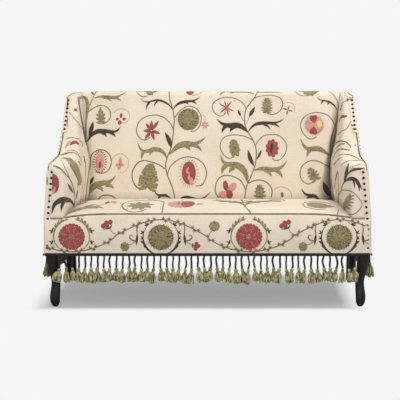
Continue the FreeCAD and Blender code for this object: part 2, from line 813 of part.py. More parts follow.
tassel_top = heading_bottom - hanger_length
heading_y = return_thickness / 2.0
heading = box(-frame_out, frame_out, 0.0, return_thickness, heading_bottom, heading_top)
nodes["fringe_heading_front"] = heading
intervals = int(round(2.0 * fringe_half_span / tassel_pitch))
step = 2.0 * fringe_half_span / intervals
hangers, tassels = [], []
for i in range(intervals + 1):
    x = -fringe_half_span + i * step
    hangers.append(hanger(x, heading_y, x, heading_y - fringe_stand_off))
    tassels.append(tassel(x, heading_y - fringe_stand_off, tassel_top))
nodes["fringe_hangers_front"] = Part.makeCompound(hangers)
nodes["fringe_tassels_front"] = Part.makeCompound(tassels)
side_heading = box(half, half + heading_thickness, 0.0, far, heading_bottom, heading_top).cut(behind(0.0))
add_pair("fringe_heading", side_heading)
heading_x = half + heading_thickness / 2.0
intervals = int(round((side_fringe_end - side_fringe_start) / tassel_pitch))
step = (side_fringe_end - side_fringe_start) / intervals
hangers, tassels = [], []
for i in range(intervals + 1):
    y = side_fringe_start + i * step
    hangers.append(hanger(heading_x, y, heading_x + side_stand_off, y))
    tassels.append(tassel(heading_x + side_stand_off, y, tassel_top))
add_pair("fringe_hangers", Part.makeCompound(hangers))
add_pair("fringe_tassels", Part.makeCompound(tassels))

# Set the middle of the footprint on the origin and write the files
bounds = FreeCAD.BoundBox()
for shape in nodes.values():
    bounds.add(shape.optimalBoundingBox(False, False))
shift = V(-(bounds.XMin + bounds.XMax) / 2.0, -(bounds.YMin + bounds.YMax) / 2.0, -bounds.ZMin)
print("size", round(bounds.XLength, 2), round(bounds.YLength, 2), round(bounds.ZLength, 2), "shift", shift)
for name, shape in nodes.items():
    shape.translate(shift)
    if not shape.isValid():
        print("not valid:", name)
    shape.exportStep("parts/" + name + ".step")
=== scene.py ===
# %% [markdown]
# # A two-seater sofa in embroidered linen
# The sofa's wooden frame, stuffing and covers come in as a fixed model at their real size. This
# script dresses them: soft covers, piping, domed nails, carved legs, a tassel fringe and wool
# embroidery. Nothing here moves a piece of the frame. Each new piece takes its place from it.

# %% Load the frame
import cmath
import math
import random
from bisect import bisect_left

import bmesh
import bpy
from mathutils import Matrix, Vector
from mathutils.bvhtree import BVHTree


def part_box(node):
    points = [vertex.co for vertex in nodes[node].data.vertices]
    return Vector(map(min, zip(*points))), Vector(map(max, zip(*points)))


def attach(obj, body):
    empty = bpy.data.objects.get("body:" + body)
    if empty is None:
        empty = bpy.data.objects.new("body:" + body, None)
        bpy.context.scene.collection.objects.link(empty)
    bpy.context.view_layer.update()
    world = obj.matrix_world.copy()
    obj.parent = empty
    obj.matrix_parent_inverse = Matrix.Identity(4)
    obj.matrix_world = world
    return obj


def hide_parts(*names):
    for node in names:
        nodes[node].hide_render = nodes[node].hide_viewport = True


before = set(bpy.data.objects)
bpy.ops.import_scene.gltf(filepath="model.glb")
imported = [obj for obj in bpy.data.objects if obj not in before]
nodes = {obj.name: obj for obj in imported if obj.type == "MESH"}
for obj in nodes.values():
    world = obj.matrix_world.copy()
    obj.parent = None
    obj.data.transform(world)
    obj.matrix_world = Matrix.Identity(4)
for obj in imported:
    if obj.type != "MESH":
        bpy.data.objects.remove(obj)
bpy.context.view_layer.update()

MM = 0.001
print("frame nodes:", len(nodes))


# %% [markdown]
# ## Helpers for working by operator
# Operators act on whatever is selected, and the loaded nodes come in selected. So each step
# selects its own object first. Finished pieces have their place in their mesh, ride on the one
# body, and hide the nodes that they stand for.

# %% Select, apply and finish
def only(piece):
    """Select one piece alone and make it the active one."""
    bpy.ops.object.select_all(action="DESELECT")
    piece.select_set(True)
    bpy.context.view_layer.objects.active = piece


def apply_place(piece):
    """Move an object's place, turn and size into its mesh."""
    only(piece)
    bpy.ops.object.transform_apply(location=True, rotation=True, scale=True)
    return piece


def modify(piece, kind, **settings):
    """Add one modifier with its settings and apply it."""
    only(piece)
    step = piece.modifiers.new(kind.title(), kind)
    for key, value in settings.items():
        setattr(step, key, value)
    bpy.ops.object.modifier_apply(modifier=step.name)


def edit(piece, *steps):
    """Run edit-mode operators on everything in the piece."""
    only(piece)
    bpy.ops.object.mode_set(mode="EDIT")
    bpy.ops.mesh.select_all(action="SELECT")
    for step in steps:
        step()
    bpy.ops.object.mode_set(mode="OBJECT")


def merge():
    bpy.ops.mesh.remove_doubles(threshold=0.02 * MM)


def outwards():
    bpy.ops.mesh.normals_make_consistent(inside=False)


def copy_of(node, name):
    """A welded copy of a frame node's mesh, as a start for the piece that stands for it."""
    piece = bpy.data.objects.new(name, nodes[node].data.copy())
    bpy.context.scene.collection.objects.link(piece)
    piece.data.materials.clear()
    edit(piece, merge)
    return piece


def finish_piece(piece, material, slot, *stands_for, smooth=40):
    """Shade a piece, give it its finish, and hide the nodes that it stands for."""
    only(piece)
    bpy.ops.object.shade_smooth_by_angle(angle=math.radians(smooth))
    piece.data.materials.clear()
    piece.data.materials.append(material)
    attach(piece, "root")
    if stands_for:
        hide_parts(*stands_for)


def join(pieces, name):
    """Join pieces into one mesh object."""
    bpy.ops.object.select_all(action="DESELECT")
    for piece in pieces:
        piece.select_set(True)
    bpy.context.view_layer.objects.active = pieces[0]
    bpy.ops.object.join()
    whole = bpy.context.view_layer.objects.active
    whole.name = whole.data.name = name
    return whole


# %% [markdown]
# ## Camera
# The sofa is seen straight from the front, from a little above it and a little right of its
# middle, with upright lines kept upright. A level camera with a shifted lens does that.

# %% Camera
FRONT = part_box("outside_arm_right")[0].y
IMAGE_WIDTH = 400
FOCAL_PIXELS = 1265.0
EYE = Vector((0.143, FRONT - 5.4, 1.040))
HORIZON_ROW = 65.0
EYE_COLUMN = 241.0

camera_data = bpy.data.cameras.new("camera")
camera = bpy.data.objects.new("camera", camera_data)
bpy.context.scene.collection.objects.link(camera)
camera_data.sensor_width = 36.0
camera_data.lens = camera_data.sensor_width * FOCAL_PIXELS / IMAGE_WIDTH
camera_data.shift_x = 0.5 - EYE_COLUMN / IMAGE_WIDTH
camera_data.shift_y = HORIZON_ROW / IMAGE_WIDTH - 0.5
camera_data.clip_end = 60.0
camera.location = EYE
camera.rotation_euler = (math.radians(90), 0, 0)
bpy.context.scene.camera = camera
bpy.context.scene.view_settings.view_transform = "Standard"
print("lens", round(camera_data.lens, 1), "mm, shift", camera_data.shift_x, camera_data.shift_y)


# %% [markdown]
# ## Colours and nodes
# Colours are written as the eye reads them, in sRGB hex, and turned to linear light by one
# function. Another adds a shader node with its settings and links.

# %% Colour and node helpers
def colour(code):
    """sRGB hex to a linear RGBA colour."""
    values = [int(code[i:i + 2], 16) / 255 for i in (1, 3, 5)]
    return [v / 12.92 if v <= 0.04045 else ((v + 0.055) / 1.055) ** 2.4 for v in values] + [1.0]


def add_node(tree, kind, links=None, **settings):
    """Add a shader node. Links give each input a value, or an output to take it from."""
    made = tree.nodes.new("ShaderNode" + kind)
    for key, value in settings.items():
        setattr(made, key, value)
    for key, value in (links or {}).items():
        if isinstance(value, bpy.types.NodeSocket):
            tree.links.new(value, made.inputs[key])
        else:
            made.inputs[key].default_value = value
    return made


def new_material(name, **surface):
    """A material with its node tree and its shader, set by the shader's own input names."""
    material = bpy.data.materials.new(name)
    material.use_nodes = True
    tree = material.node_tree
    shader = tree.nodes["Principled BSDF"]
    for key, value in surface.items():
        shader.inputs[key.replace("_", " ").title()].default_value = value
    return material, tree, shader


def place(tree):
    """Places on the piece, in millimetres."""
    coordinates = add_node(tree, "TexCoord")
    return add_node(tree, "Mapping", {"Vector": coordinates.outputs["Object"], "Scale": (1000, 1000, 1000)})


def ramp(tree, factor, *stops):
    """A colour that follows a factor through stops of place and colour."""
    made = add_node(tree, "ValToRGB", {"Fac": factor})
    elements = made.color_ramp.elements
    while len(elements) < len(stops):
        elements.new(0.5)
    for element, (position, code) in zip(elements, stops):
        element.position = position
        element.color = colour(code)
    return made.outputs["Color"]


def bump(tree, height, shader, distance, strength):
    """Relief in the finish only, with its depth in millimetres."""
    made = add_node(tree, "Bump", {"Height": height, "Distance": distance * MM, "Strength": strength})
    tree.links.new(made.outputs["Normal"], shader.inputs["Normal"])


# %% [markdown]
# ## Linen
# The covers are a firm plain-woven linen in cream. Its threads are under a millimetre apart,
# which is too fine to see here, so the weave is drawn at 3 mm. Slubs are the thicker stretches
# of thread that run a few centimetres along the warp and the weft. Linen is dull, with a little
# sheen at grazing angles from its loose fibres. In a deep crease less light comes in, so shade
# is painted into the cloth's colour where its surroundings close in on it.

# %% Linen material
THREAD_SPACING = 3.0
# A wave texture at this scale draws one band in each millimetre.
ONE_BAND = 2 * math.pi / 20
SLUB_LONG = 0.02
SLUB_FINE = 0.45
# How far the painted crease shade looks for surroundings that close in, in millimetres.
CREASE_REACH = 90.0


def painted_crease_shade(tree, tone):
    """Painted shade: cloth and wool deep in a crease are darkened, as little light comes in there."""
    outlook = add_node(tree, "AmbientOcclusion", {"Distance": CREASE_REACH * MM}, samples=4)
    depth = ramp(tree, outlook.outputs["AO"], (0.1, "#4E3C2A"), (0.52, "#FFFFFF"))
    return add_node(tree, "MixRGB", {"Fac": 1.0, "Color1": tone, "Color2": depth},
                    blend_type="MULTIPLY").outputs["Color"]


def linen_material(name, light, mid, dark):
    """Plain-woven linen with slubs along the warp and the weft."""
    material, tree, shader = new_material(name, roughness=0.86, sheen_weight=0.12, sheen_roughness=0.5)
    at = place(tree).outputs["Vector"]
    spread = add_node(tree, "TexNoise", {"Vector": at, "Scale": 0.006, "Detail": 3.0})
    along_x = add_node(tree, "Mapping", {"Vector": at, "Scale": (SLUB_LONG, SLUB_FINE, SLUB_FINE)})
    along_z = add_node(tree, "Mapping", {"Vector": at, "Scale": (SLUB_FINE, 0.25, SLUB_LONG)})
    weft = add_node(tree, "TexNoise", {"Vector": along_x.outputs["Vector"], "Scale": 1.0, "Detail": 2.0})
    warp = add_node(tree, "TexNoise", {"Vector": along_z.outputs["Vector"], "Scale": 1.0, "Detail": 2.0})
    slubs = add_node(tree, "Math", {0: weft.outputs["Fac"], 1: warp.outputs["Fac"]}, operation="ADD")
    mixed = add_node(tree, "Math", {0: slubs.outputs[0], 1: 0.33, 2: 0.0}, operation="MULTIPLY_ADD")
    mixed = add_node(tree, "Math", {0: spread.outputs["Fac"], 1: 0.34, 2: mixed.outputs[0]},
                     operation="MULTIPLY_ADD")
    base = ramp(tree, mixed.outputs[0], (0.36, dark), (0.5, mid), (0.64, light))
    # The linen's colour carries painted shade in its creases.
    tree.links.new(painted_crease_shade(tree, base), shader.inputs["Base Color"])
    threads = []
    for axis in range(3):
        wave = add_node(tree, "TexWave", {"Vector": at, "Scale": ONE_BAND / THREAD_SPACING,
                                          "Distortion": 0.6, "Detail": 1.0},
                        bands_direction="XYZ"[axis])
        threads.append(wave.outputs["Fac"])
    woven = add_node(tree, "Math", {0: threads[0], 1: threads[1]}, operation="MULTIPLY")
    woven = add_node(tree, "Math", {0: woven.outputs[0], 1: threads[2]}, operation="ADD")
    relief = add_node(tree, "Math", {0: slubs.outputs[0], 1: 1.5, 2: woven.outputs[0]},
                      operation="MULTIPLY_ADD")
    bump(tree, relief.outputs[0], shader, 0.35, 0.5)
    return material


linen = linen_material("cream_linen", "#E9DDCB", "#E2D4C0", "#D8C8B1")


# %% [markdown]
# ## Wool, cord, brass and wood
# Crewel wool is a loose two-ply worsted, matt and slightly uneven in dye, so each colour is a
# ramp between two shades over a few millimetres, with fine ridges from the stitches. The fringe
# is the same wool, cut, but its ramp runs down to a far darker shade in wider patches: that is
# painted shade, for the gaps between the strands. Its cords are tightly twisted and nearly black.
# The nails are brass, antiqued to a dark brown that is worn bright on the crowns. The front legs
# are ebonised beech: black stain under a thin satin polish, so the grain still breaks the gloss.

# %% Wool
STITCH_SPACING = 2.2


def wool_material(name, light, dark, spacing=STITCH_SPACING, dye_and_shade_scale=0.11):
    """Crewel wool with uneven dye and fine ridges. With a wide, dark ramp, as on the fringe, the patches
    are painted shade.
    """
    material, tree, shader = new_material(name, roughness=0.9, sheen_weight=0.08, sheen_roughness=0.6)
    at = place(tree).outputs["Vector"]
    shade = add_node(tree, "TexNoise", {"Vector": at, "Scale": dye_and_shade_scale, "Detail": 4.0, "Roughness": 0.7})
    base = ramp(tree, shade.outputs["Fac"], (0.34, dark), (0.66, light))
    # The wool's colour carries painted shade in its creases.
    tree.links.new(painted_crease_shade(tree, base), shader.inputs["Base Color"])
    ridges = add_node(tree, "TexNoise", {"Vector": at, "Scale": 1 / spacing, "Detail": 1.0})
    bump(tree, ridges.outputs["Fac"], shader, 1.2, 0.8)
    return material


wools = {
    "olive": wool_material("olive_crewel_wool", "#A89C70", "#655A38"),
    "stem": wool_material("sage_crewel_wool", "#877B54", "#665C3C"),
    "brown": wool_material("dark_brown_crewel_wool", "#4C3E31", "#33281E"),
    "red": wool_material("madder_red_crewel_wool", "#A9524A", "#823934"),
    "pink": wool_material("rose_crewel_wool", "#D6A095", "#C38479"),
    "moss": wool_material("moss_crewel_wool", "#6A5F3C", "#4C4328"),
    "yellow": wool_material("straw_crewel_wool", "#DFDC93", "#CDC874"),
}
# The dark end of this ramp, in patches about 15 mm across, is painted shade for the gaps between the tassel
# strands.
fringe_wool_painted_shade = wool_material("cut_olive_wool", "#C8BE8B", "#403A1C", 1.6, 0.065)
piping_cloth = wool_material("sage_piping_twill", "#958B65", "#746A4A", 1.6)
cord_black = wool_material("black_twisted_cord", "#121216", "#08080A", 1.5)

# %% Brass nails
nail_brass, tree, shader = new_material("antiqued_brass", metallic=0.8, roughness=0.45)
at = place(tree).outputs["Vector"]
patina = add_node(tree, "TexNoise", {"Vector": at, "Scale": 0.35, "Detail": 3.0})
tree.links.new(ramp(tree, patina.outputs["Fac"], (0.35, "#1E160E"), (0.6, "#3E2D1B"), (0.75, "#77592F")),
               shader.inputs["Base Color"])


# %% Woods
def wood_material(name, light, dark, roughness, grain_scale=(0.06, 0.06, 0.006)):
    """Polished or raw wood with its grain along one axis."""
    material, tree, shader = new_material(name, roughness=roughness)
    shader.inputs["Specular IOR Level"].default_value = 0.3
    at = place(tree).outputs["Vector"]
    stretched = add_node(tree, "Mapping", {"Vector": at, "Scale": grain_scale})
    grain = add_node(tree, "TexNoise", {"Vector": stretched.outputs["Vector"], "Scale": 3.0, "Detail": 5.0})
    tree.links.new(ramp(tree, grain.outputs["Fac"], (0.4, dark), (0.62, light)),
                   shader.inputs["Base Color"])
    bump(tree, grain.outputs["Fac"], shader, 0.4, 0.4)
    return material


ebonised = wood_material("ebonised_beech", "#1A1513", "#0B0909", 0.5)
stained = wood_material("brown_stained_beech", "#2E2018", "#1A110B", 0.5)
raw_beech = wood_material("unfinished_beech", "#CDAA7C", "#B28C5E", 0.7, grain_scale=(0.006, 0.05, 0.05))


# %% Inner cloths
def plain_cloth(name, light, dark, scale):
    """A coarse inner cloth with a loose weave."""
    material, tree, shader = new_material(name, roughness=0.95)
    at = place(tree).outputs["Vector"]
    weave = add_node(tree, "TexNoise", {"Vector": at, "Scale": scale, "Detail": 3.0})
    tree.links.new(ramp(tree, weave.outputs["Fac"], (0.4, dark), (0.6, light)), shader.inputs["Base Color"])
    bump(tree, weave.outputs["Fac"], shader, 0.8, 0.6)
    return material


jute = plain_cloth("jute_hessian", "#B89A68", "#8F7246", 0.6)
webbing = plain_cloth("jute_webbing", "#A5875A", "#7C6240", 0.4)
hair = plain_cloth("curled_hair_and_felt", "#9A8A78", "#6E6052", 0.2)
cambric = plain_cloth("black_cambric", "#202024", "#141417", 0.5)
spring_wire, tree, shader = new_material("coppered_spring_wire", metallic=1.0, roughness=0.4)
at = place(tree).outputs["Vector"]
tarnish = add_node(tree, "TexNoise", {"Vector": at, "Scale": 0.1, "Detail": 2.0})
tree.links.new(ramp(tree, tarnish.outputs["Fac"], (0.35, "#6E5444"), (0.65, "#A98468")),
               shader.inputs["Base Color"])

INNER = {"stuffing": hair, "edge_roll": hair, "hessian": jute, "webbing": webbing, "springs": spring_wire,
         "bottom_cloth": cambric}
for name, node in nodes.items():
    finish = next((made for word, made in INNER.items() if word in name), raw_beech)
    node.data.materials.clear()
    node.data.materials.append(finish)


# %% [markdown]
# ## Room and light
# A studio floor and wall in one pale tone, with a big soft lamp overhead and another in front.
# The floor takes the soft shadow under the sofa, and turns into the plain background further
# out. Near the sofa too, the camera sees the floor glow in the background's tone by at least a
# set share: painted light that pales the shadow. The fades give the distances from the origin,
# in metres, over which it turns.

# %% Floor and background
BACKGROUND = colour("#F5F5F5")
FLOOR_SIZE = 40.0
FLOOR_LEVEL = -0.0005
SHADOW_SHIFT = 0.05
SIDE_FADE = (0.56, 0.74)
REAR_FADE = (0.36, 0.62)
FRONT_FADE = (0.28, 0.42)
# Painted light: to the camera the floor glows in the background's tone by at least this share, which pales
# the shadow under the sofa.
LEAST_GLOW = 0.32
bpy.ops.object.select_all(action="DESELECT")
bpy.ops.mesh.primitive_plane_add(size=FLOOR_SIZE, location=(0, 0, FLOOR_LEVEL))
floor = bpy.context.active_object
floor.name = "floor"
apply_place(floor)
floor_paint, tree, shader = new_material("pale_floor_paint", roughness=0.95)
shader.inputs["Base Color"].default_value = colour("#C8C8C8")
shader.inputs["Specular IOR Level"].default_value = 0.0
glow = add_node(tree, "Emission", {"Color": BACKGROUND, "Strength": 1.0})
coordinates = add_node(tree, "TexCoord")
axes = add_node(tree, "SeparateXYZ", {"Vector": coordinates.outputs["Object"]})
shifted = add_node(tree, "Math", {0: axes.outputs["X"], 1: SHADOW_SHIFT}, operation="ADD")
across = add_node(tree, "Math", {0: shifted.outputs[0]}, operation="ABSOLUTE")


def fade(value, start, end):
    """A soft step from 0 to 1 between two distances."""
    return add_node(tree, "MapRange", {"Value": value, "From Min": start, "From Max": end},
                    interpolation_type="SMOOTHSTEP").outputs["Result"]


forward = add_node(tree, "Math", {0: axes.outputs["Y"], 1: -1.0}, operation="MULTIPLY")
sideways = fade(across.outputs[0], *SIDE_FADE)
edges = add_node(tree, "Math",
                 {0: fade(axes.outputs["Y"], *REAR_FADE), 1: fade(forward.outputs[0], *FRONT_FADE)},
                 operation="MAXIMUM")
far = add_node(tree, "Math", {0: edges.outputs[0], 1: sideways}, operation="MAXIMUM")
far = add_node(tree, "Math", {0: far.outputs[0], 1: LEAST_GLOW}, operation="MAXIMUM")
rays = add_node(tree, "LightPath")
seen = add_node(tree, "Math", {0: far.outputs[0], 1: rays.outputs["Is Camera Ray"]}, operation="MULTIPLY")
blend = add_node(tree, "MixShader", {0: seen.outputs[0], 1: shader.outputs[0], 2: glow.outputs[0]})
tree.links.new(blend.outputs[0], tree.nodes["Material Output"].inputs["Surface"])
floor.data.materials.append(floor_paint)

# %% World
AMBIENT = 0.48
world = bpy.data.worlds.new("studio")
bpy.context.scene.world = world
world.use_nodes = True
tree = world.node_tree
rays = add_node(tree, "LightPath")
direct = add_node(tree, "Math", {0: rays.outputs["Is Camera Ray"], 1: rays.outputs["Is Glossy Ray"]},
                  operation="MAXIMUM")
direct = add_node(tree, "Math", {0: direct.outputs[0], 1: rays.outputs["Is Transmission Ray"]},
                  operation="MAXIMUM")
soft = add_node(tree, "Background", {"Color": (1, 1, 1, 1), "Strength": AMBIENT})
plain = add_node(tree, "Background", {"Color": BACKGROUND, "Strength": 1.0})
both = add_node(tree, "MixShader", {0: direct.outputs[0], 1: soft.outputs[0], 2: plain.outputs[0]})
tree.links.new(both.outputs[0], tree.nodes["World Output"].inputs["Surface"])


# %% Lamps
def lamp(name, location, target, width, height, power):
    """A rectangular soft lamp that points at a target."""
    data = bpy.data.lights.new(name, "AREA")
    data.shape = "RECTANGLE"
    data.size, data.size_y, data.energy = width, height, power
    made = bpy.data.objects.new(name, data)
    bpy.context.scene.collection.objects.link(made)
    made.location = location
    made.rotation_euler = (Vector(target) - Vector(location)).to_track_quat("-Z", "Y").to_euler()


lamp("overhead_softbox", (1.1, -0.5, 3.3), (0, 0, 0.4), 3.0, 2.4, 65)
lamp("front_softbox", (-0.4, -4.3, 2.4), (0, 0, 0.5), 2.4, 2.0, 84)


# %% [markdown]
# ## Soft covers
# The seat, back, arms and border are stuffed pads under a tight cover. Each starts as a copy of
# the frame's own plain shell. A voxel remesh gives it an even mesh that can be pushed about, and
# a few rounds of smoothing turn its hard corners into cloth over wadding. The outside panels are
# flat, so they keep only a third of their faces.

# %% Remeshed covers
PANEL_RATIO = 0.3


def soft_cover(node, name, voxel=5.0, rounds=6):
    """A cover with an even mesh of some spacing in millimetres, smoothed in rounds."""
    piece = copy_of(node, name)
    modify(piece, "REMESH", mode="VOXEL", voxel_size=voxel * MM, adaptivity=0.0)
    modify(piece, "SMOOTH", factor=0.5, iterations=rounds)
    print(name, len(piece.data.polygons), "faces")
    return piece


def on_surface(*pieces):
    """One search tree over the outer skins of some finished pieces."""
    points, faces = [], []
    for piece in pieces:
        start = len(points)
        points += [v.co.copy() for v in piece.data.vertices]
        faces += [[start + i for i in face.vertices] for face in piece.data.polygons]
    return BVHTree.FromPolygons(points, faces)


back_pad = soft_cover("back_cover", "back_pad_cover")
seat_pad = soft_cover("seat_cover", "seat_pad_cover")
border_pad = soft_cover("front_border", "border_cover", voxel=4.0, rounds=3)
arm_pads = {side: soft_cover("arm_cover_" + side, "arm_cloth_" + side, voxel=4.0)
            for side in ("left", "right")}
sides = {side: soft_cover("outside_arm_" + side, "outside_cloth_" + side, voxel=2.5, rounds=2)
         for side in ("left", "right")}
rear_cloth = soft_cover("outside_back", "outside_back_cloth", voxel=2.5, rounds=2)
for panel in (*sides.values(), rear_cloth):
    modify(panel, "DECIMATE", ratio=PANEL_RATIO)

# %% [markdown]
# The arms are stuffed fuller than their frame: each swells inwards at elbow height, and less so
# at the wing above. Where the cover turns up from the arm into the wing it can't lie flat, so
# the upholsterer eases it into a fan of small pleats.

# %% Shape the arms
ARM_SWELL = ((384, 12), (454, 25), (530, 33), (592, 33), (640, 24), (680, 15), (735, 9), (800, 6), (913, 3))
ARM_WIDEST = 697.0
ARM_DEEPENS = ((0, 0.25), (150, 1))
PLEAT_SPACING = 21.0
PLEAT_DEPTH = 3.2
PLEAT_LEVEL = 632.0
PLEAT_BAND = 48.0


def between(pairs, at):
    """Value at a place, from pairs of place and value in rising order."""
    for (a, low), (b, high) in zip(pairs, pairs[1:]):
        if at <= b:
            share = min(max((at - a) / (b - a), 0.0), 1.0)
            return low + (high - low) * share * share * (3 - 2 * share)
    return pairs[-1][1]


def shape_arm(piece, side):
    """Swell one arm inwards and work the fan of pleats into its cover."""
    sign = 1 if side == "right" else -1
    front = FRONT * 1000
    for vertex in piece.data.vertices:
        x, y, z = vertex.co * 1000
        inner = between(((0, 0), (75, 1)), ARM_WIDEST - abs(x))
        deep = between(ARM_DEEPENS, y - front)
        swell = between(ARM_SWELL, z) * inner * deep
        across = 0.6 * y + 0.8 * z + 0.3 * abs(x)
        fan = math.exp(-((z - PLEAT_LEVEL) / PLEAT_BAND) ** 2) * between(((0, 0), (30, 1)), 690 - abs(x))
        uneven = 1.3 * math.sin(across / 23 + 0.02 * y)
        pleat = PLEAT_DEPTH * fan * math.sin(2 * math.pi * across / PLEAT_SPACING + uneven)
        vertex.co.x -= sign * (swell + 0.5 * pleat) * MM
        vertex.co.y -= 0.6 * pleat * MM
        vertex.co.z += 0.6 * pleat * MM


for side in ("left", "right"):
    shape_arm(arm_pads[side], side)

# The ends of the back are pulled in behind the arms, so a deep crease shows there. It is deepest
# at the foot of the right arm. The stuffing under the cover is given the same shape. Nothing is
# pulled further than a plane in front of the outside back cloth.
CREASE_START = ((345, 494), (440, 500), (550, 530), (640, 550), (760, 572))
CREASE_END = 600.0
CREASE_SHARE = ((600, 1), (760, 0.2), (880, 0))
CREASE_CURVE = 1.4
CREASE_DEPTH = {-1: 14.0, 1: 92.0}
CREASE_BACK = 0.3


def pull_in(piece):
    """Move the ends of a back piece backwards, more towards its corners and its foot."""
    for vertex in piece.data.vertices:
        x, z = abs(vertex.co.x) * 1000, vertex.co.z * 1000
        start = between(CREASE_START, z)
        share = min(max((x - start) / (CREASE_END - start), 0.0), 1.0)
        pulled = share ** CREASE_CURVE * between(CREASE_SHARE, z)
        depth = CREASE_DEPTH[1 if vertex.co.x > 0 else -1] * pulled * MM
        vertex.co.y += min(depth, max(0.0, CREASE_BACK - vertex.co.y))


back_fill = soft_cover("back_stuffing", "back_stuffing_shaped", voxel=8.0, rounds=2)
pull_in(back_pad)
pull_in(back_fill)
finish_piece(back_fill, hair, "hair_stuffing", "back_stuffing", smooth=180)

# The border is padded too: it is fullest a little above its middle.
BORDER_CROWN = 13.0
CROWN_CURVE = 1.15
border_low, border_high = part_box("front_border")
for vertex in border_pad.data.vertices:
    if vertex.co.y < (border_low.y + border_high.y) / 2:
        share = (vertex.co.z - border_low.z) / (border_high.z - border_low.z)
        vertex.co.y -= BORDER_CROWN * MM * math.sin(math.pi * min(max(share, 0.0), 1.0) ** CROWN_CURVE)

for piece, node in [(back_pad, "back_cover"), (seat_pad, "seat_cover"), (border_pad, "front_border"),
                    (rear_cloth, "outside_back")]:
    finish_piece(piece, linen, "embroidered_linen", node, smooth=180)
for side in ("left", "right"):
    finish_piece(arm_pads[side], linen, "embroidered_linen", "arm_cover_" + side, smooth=180)
    finish_piece(sides[side], linen, "embroidered_linen", "outside_arm_" + side, smooth=180)

# %% [markdown]
# ## Cords and loose parts
# Cords, hangers and strands are round, so each is a curve with a bevel, turned into a mesh.
# Small repeated parts take their places from the loose parts of a frame node: one nail for each
# nail there, and one tassel for each tassel.

# %% Cord and loose-part helpers
def cord(points, radii, name):
    """A round cord with closed ends through points in metres, with its radii in millimetres."""
    data = bpy.data.curves.new(name, "CURVE")
    data.dimensions = "3D"
    data.bevel_depth = MM
    data.bevel_resolution = 1
    data.resolution_u = 3
    data.use_fill_caps = True
    line = data.splines.new("NURBS")
    line.points.add(len(points) - 1)
    for point, at, radius in zip(line.points, points, radii):
        point.co = (*at, 1.0)
        point.radius = radius
    line.use_endpoint_u = True
    line.order_u = 4
    piece = bpy.data.objects.new(name, data)
    bpy.context.scene.collection.objects.link(piece)
    only(piece)
    bpy.ops.object.convert(target="MESH")
    return bpy.context.view_layer.objects.active


def loose_parts(node):
    """Vertex places of each separate part of a frame node."""
    welded = copy_of(node, "welded")
    shape = bmesh.new()
    shape.from_mesh(welded.data)
    left = set(shape.verts)
    parts = []
    for first in shape.verts:
        if first not in left:
            continue
        left.remove(first)
        queue = [first]
        part = []
        while queue:
            vertex = queue.pop()
            part.append(vertex.co.copy())
            for edge in vertex.link_edges:
                other = edge.other_vert(vertex)
                if other in left:
                    left.remove(other)
                    queue.append(other)
        parts.append(part)
    shape.free()
    bpy.data.objects.remove(welded)
    return parts


def middle(points):
    return sum(points, Vector()) / len(points)


def placed(source, matrix):
    """A copy of a small part, put in its place by its mesh."""
    piece = bpy.data.objects.new(source.name, source.data.copy())
    piece.data.transform(matrix)
    bpy.context.scene.collection.objects.link(piece)
    return piece


def discard(*pieces):
    for piece in pieces:
        bpy.data.objects.remove(piece)


# %% [markdown]
# ## Piping
# A cord in its own twill edges the front of the seat and the foot of each arm front. The frame's
# piping is an octagon, so one round of subdivision makes it round.

# %% Piping
for node in ("seat_edge_piping", "arm_base_piping_left", "arm_base_piping_right"):
    piece = copy_of(node, node + "_cord")
    modify(piece, "SUBSURF", levels=1)
    finish_piece(piece, piping_cloth, "olive_fringe", node)


# %% [markdown]
# ## Nails
# Close rows of domed nails hold the turned edge of the side cloth. A nail head is the top of a
# ball pressed from thin brass, so it is cut from a sphere and flattened.

# %% Nails
NAIL_RADIUS = 5.8
NAIL_RISE = 3.4
NAIL_CUT = 0.6
# The vertices nearest to the middle of a frame nail are its crown, the others its rim.
CROWN_COUNT = 6
bpy.ops.object.select_all(action="DESELECT")
bpy.ops.mesh.primitive_uv_sphere_add(segments=16, ring_count=10, radius=NAIL_RADIUS * MM)
nail = bpy.context.active_object
nail.name = "nail"
edit(nail, lambda: bpy.ops.mesh.bisect(plane_co=(0, 0, NAIL_CUT * MM), plane_no=(0, 0, 1), clear_inner=True,
                                       use_fill=True))
nail.scale.z = NAIL_RISE / NAIL_RADIUS
apply_place(nail)
nail_lines = {}
for side in ("left", "right"):
    heads = []
    spots = []
    for part in loose_parts("nailheads_" + side):
        centre = middle(part)
        by_reach = sorted(part, key=lambda point: (point - centre).length)
        base = middle(by_reach[CROWN_COUNT:])
        out = (middle(by_reach[:CROWN_COUNT]) - base).normalized()
        spots.append((base, out))
        turn = out.to_track_quat("Z", "Y").to_matrix().to_4x4()
        heads.append(placed(nail, Matrix.Translation(base) @ turn))
    nail_lines[side] = sorted(spots, key=lambda spot: spot[0].z)
    row = join(heads, "brass_nails_" + side)
    finish_piece(row, nail_brass, "antique_brass", "nailheads_" + side)
    print(side, len(heads), "nails")
discard(nail)


# %% [markdown]
# ## Legs
# The front legs are carved cabriole legs with a small scroll step under the knee. The frame's
# legs have flat sides, so they are subdivided into smooth carving. The rear legs are plain
# tapered posts that rake backwards, with their long edges eased. Smoothing draws a mesh in, so
# the foot of a front leg is stretched down to the floor again, and its sole drawn in a little.

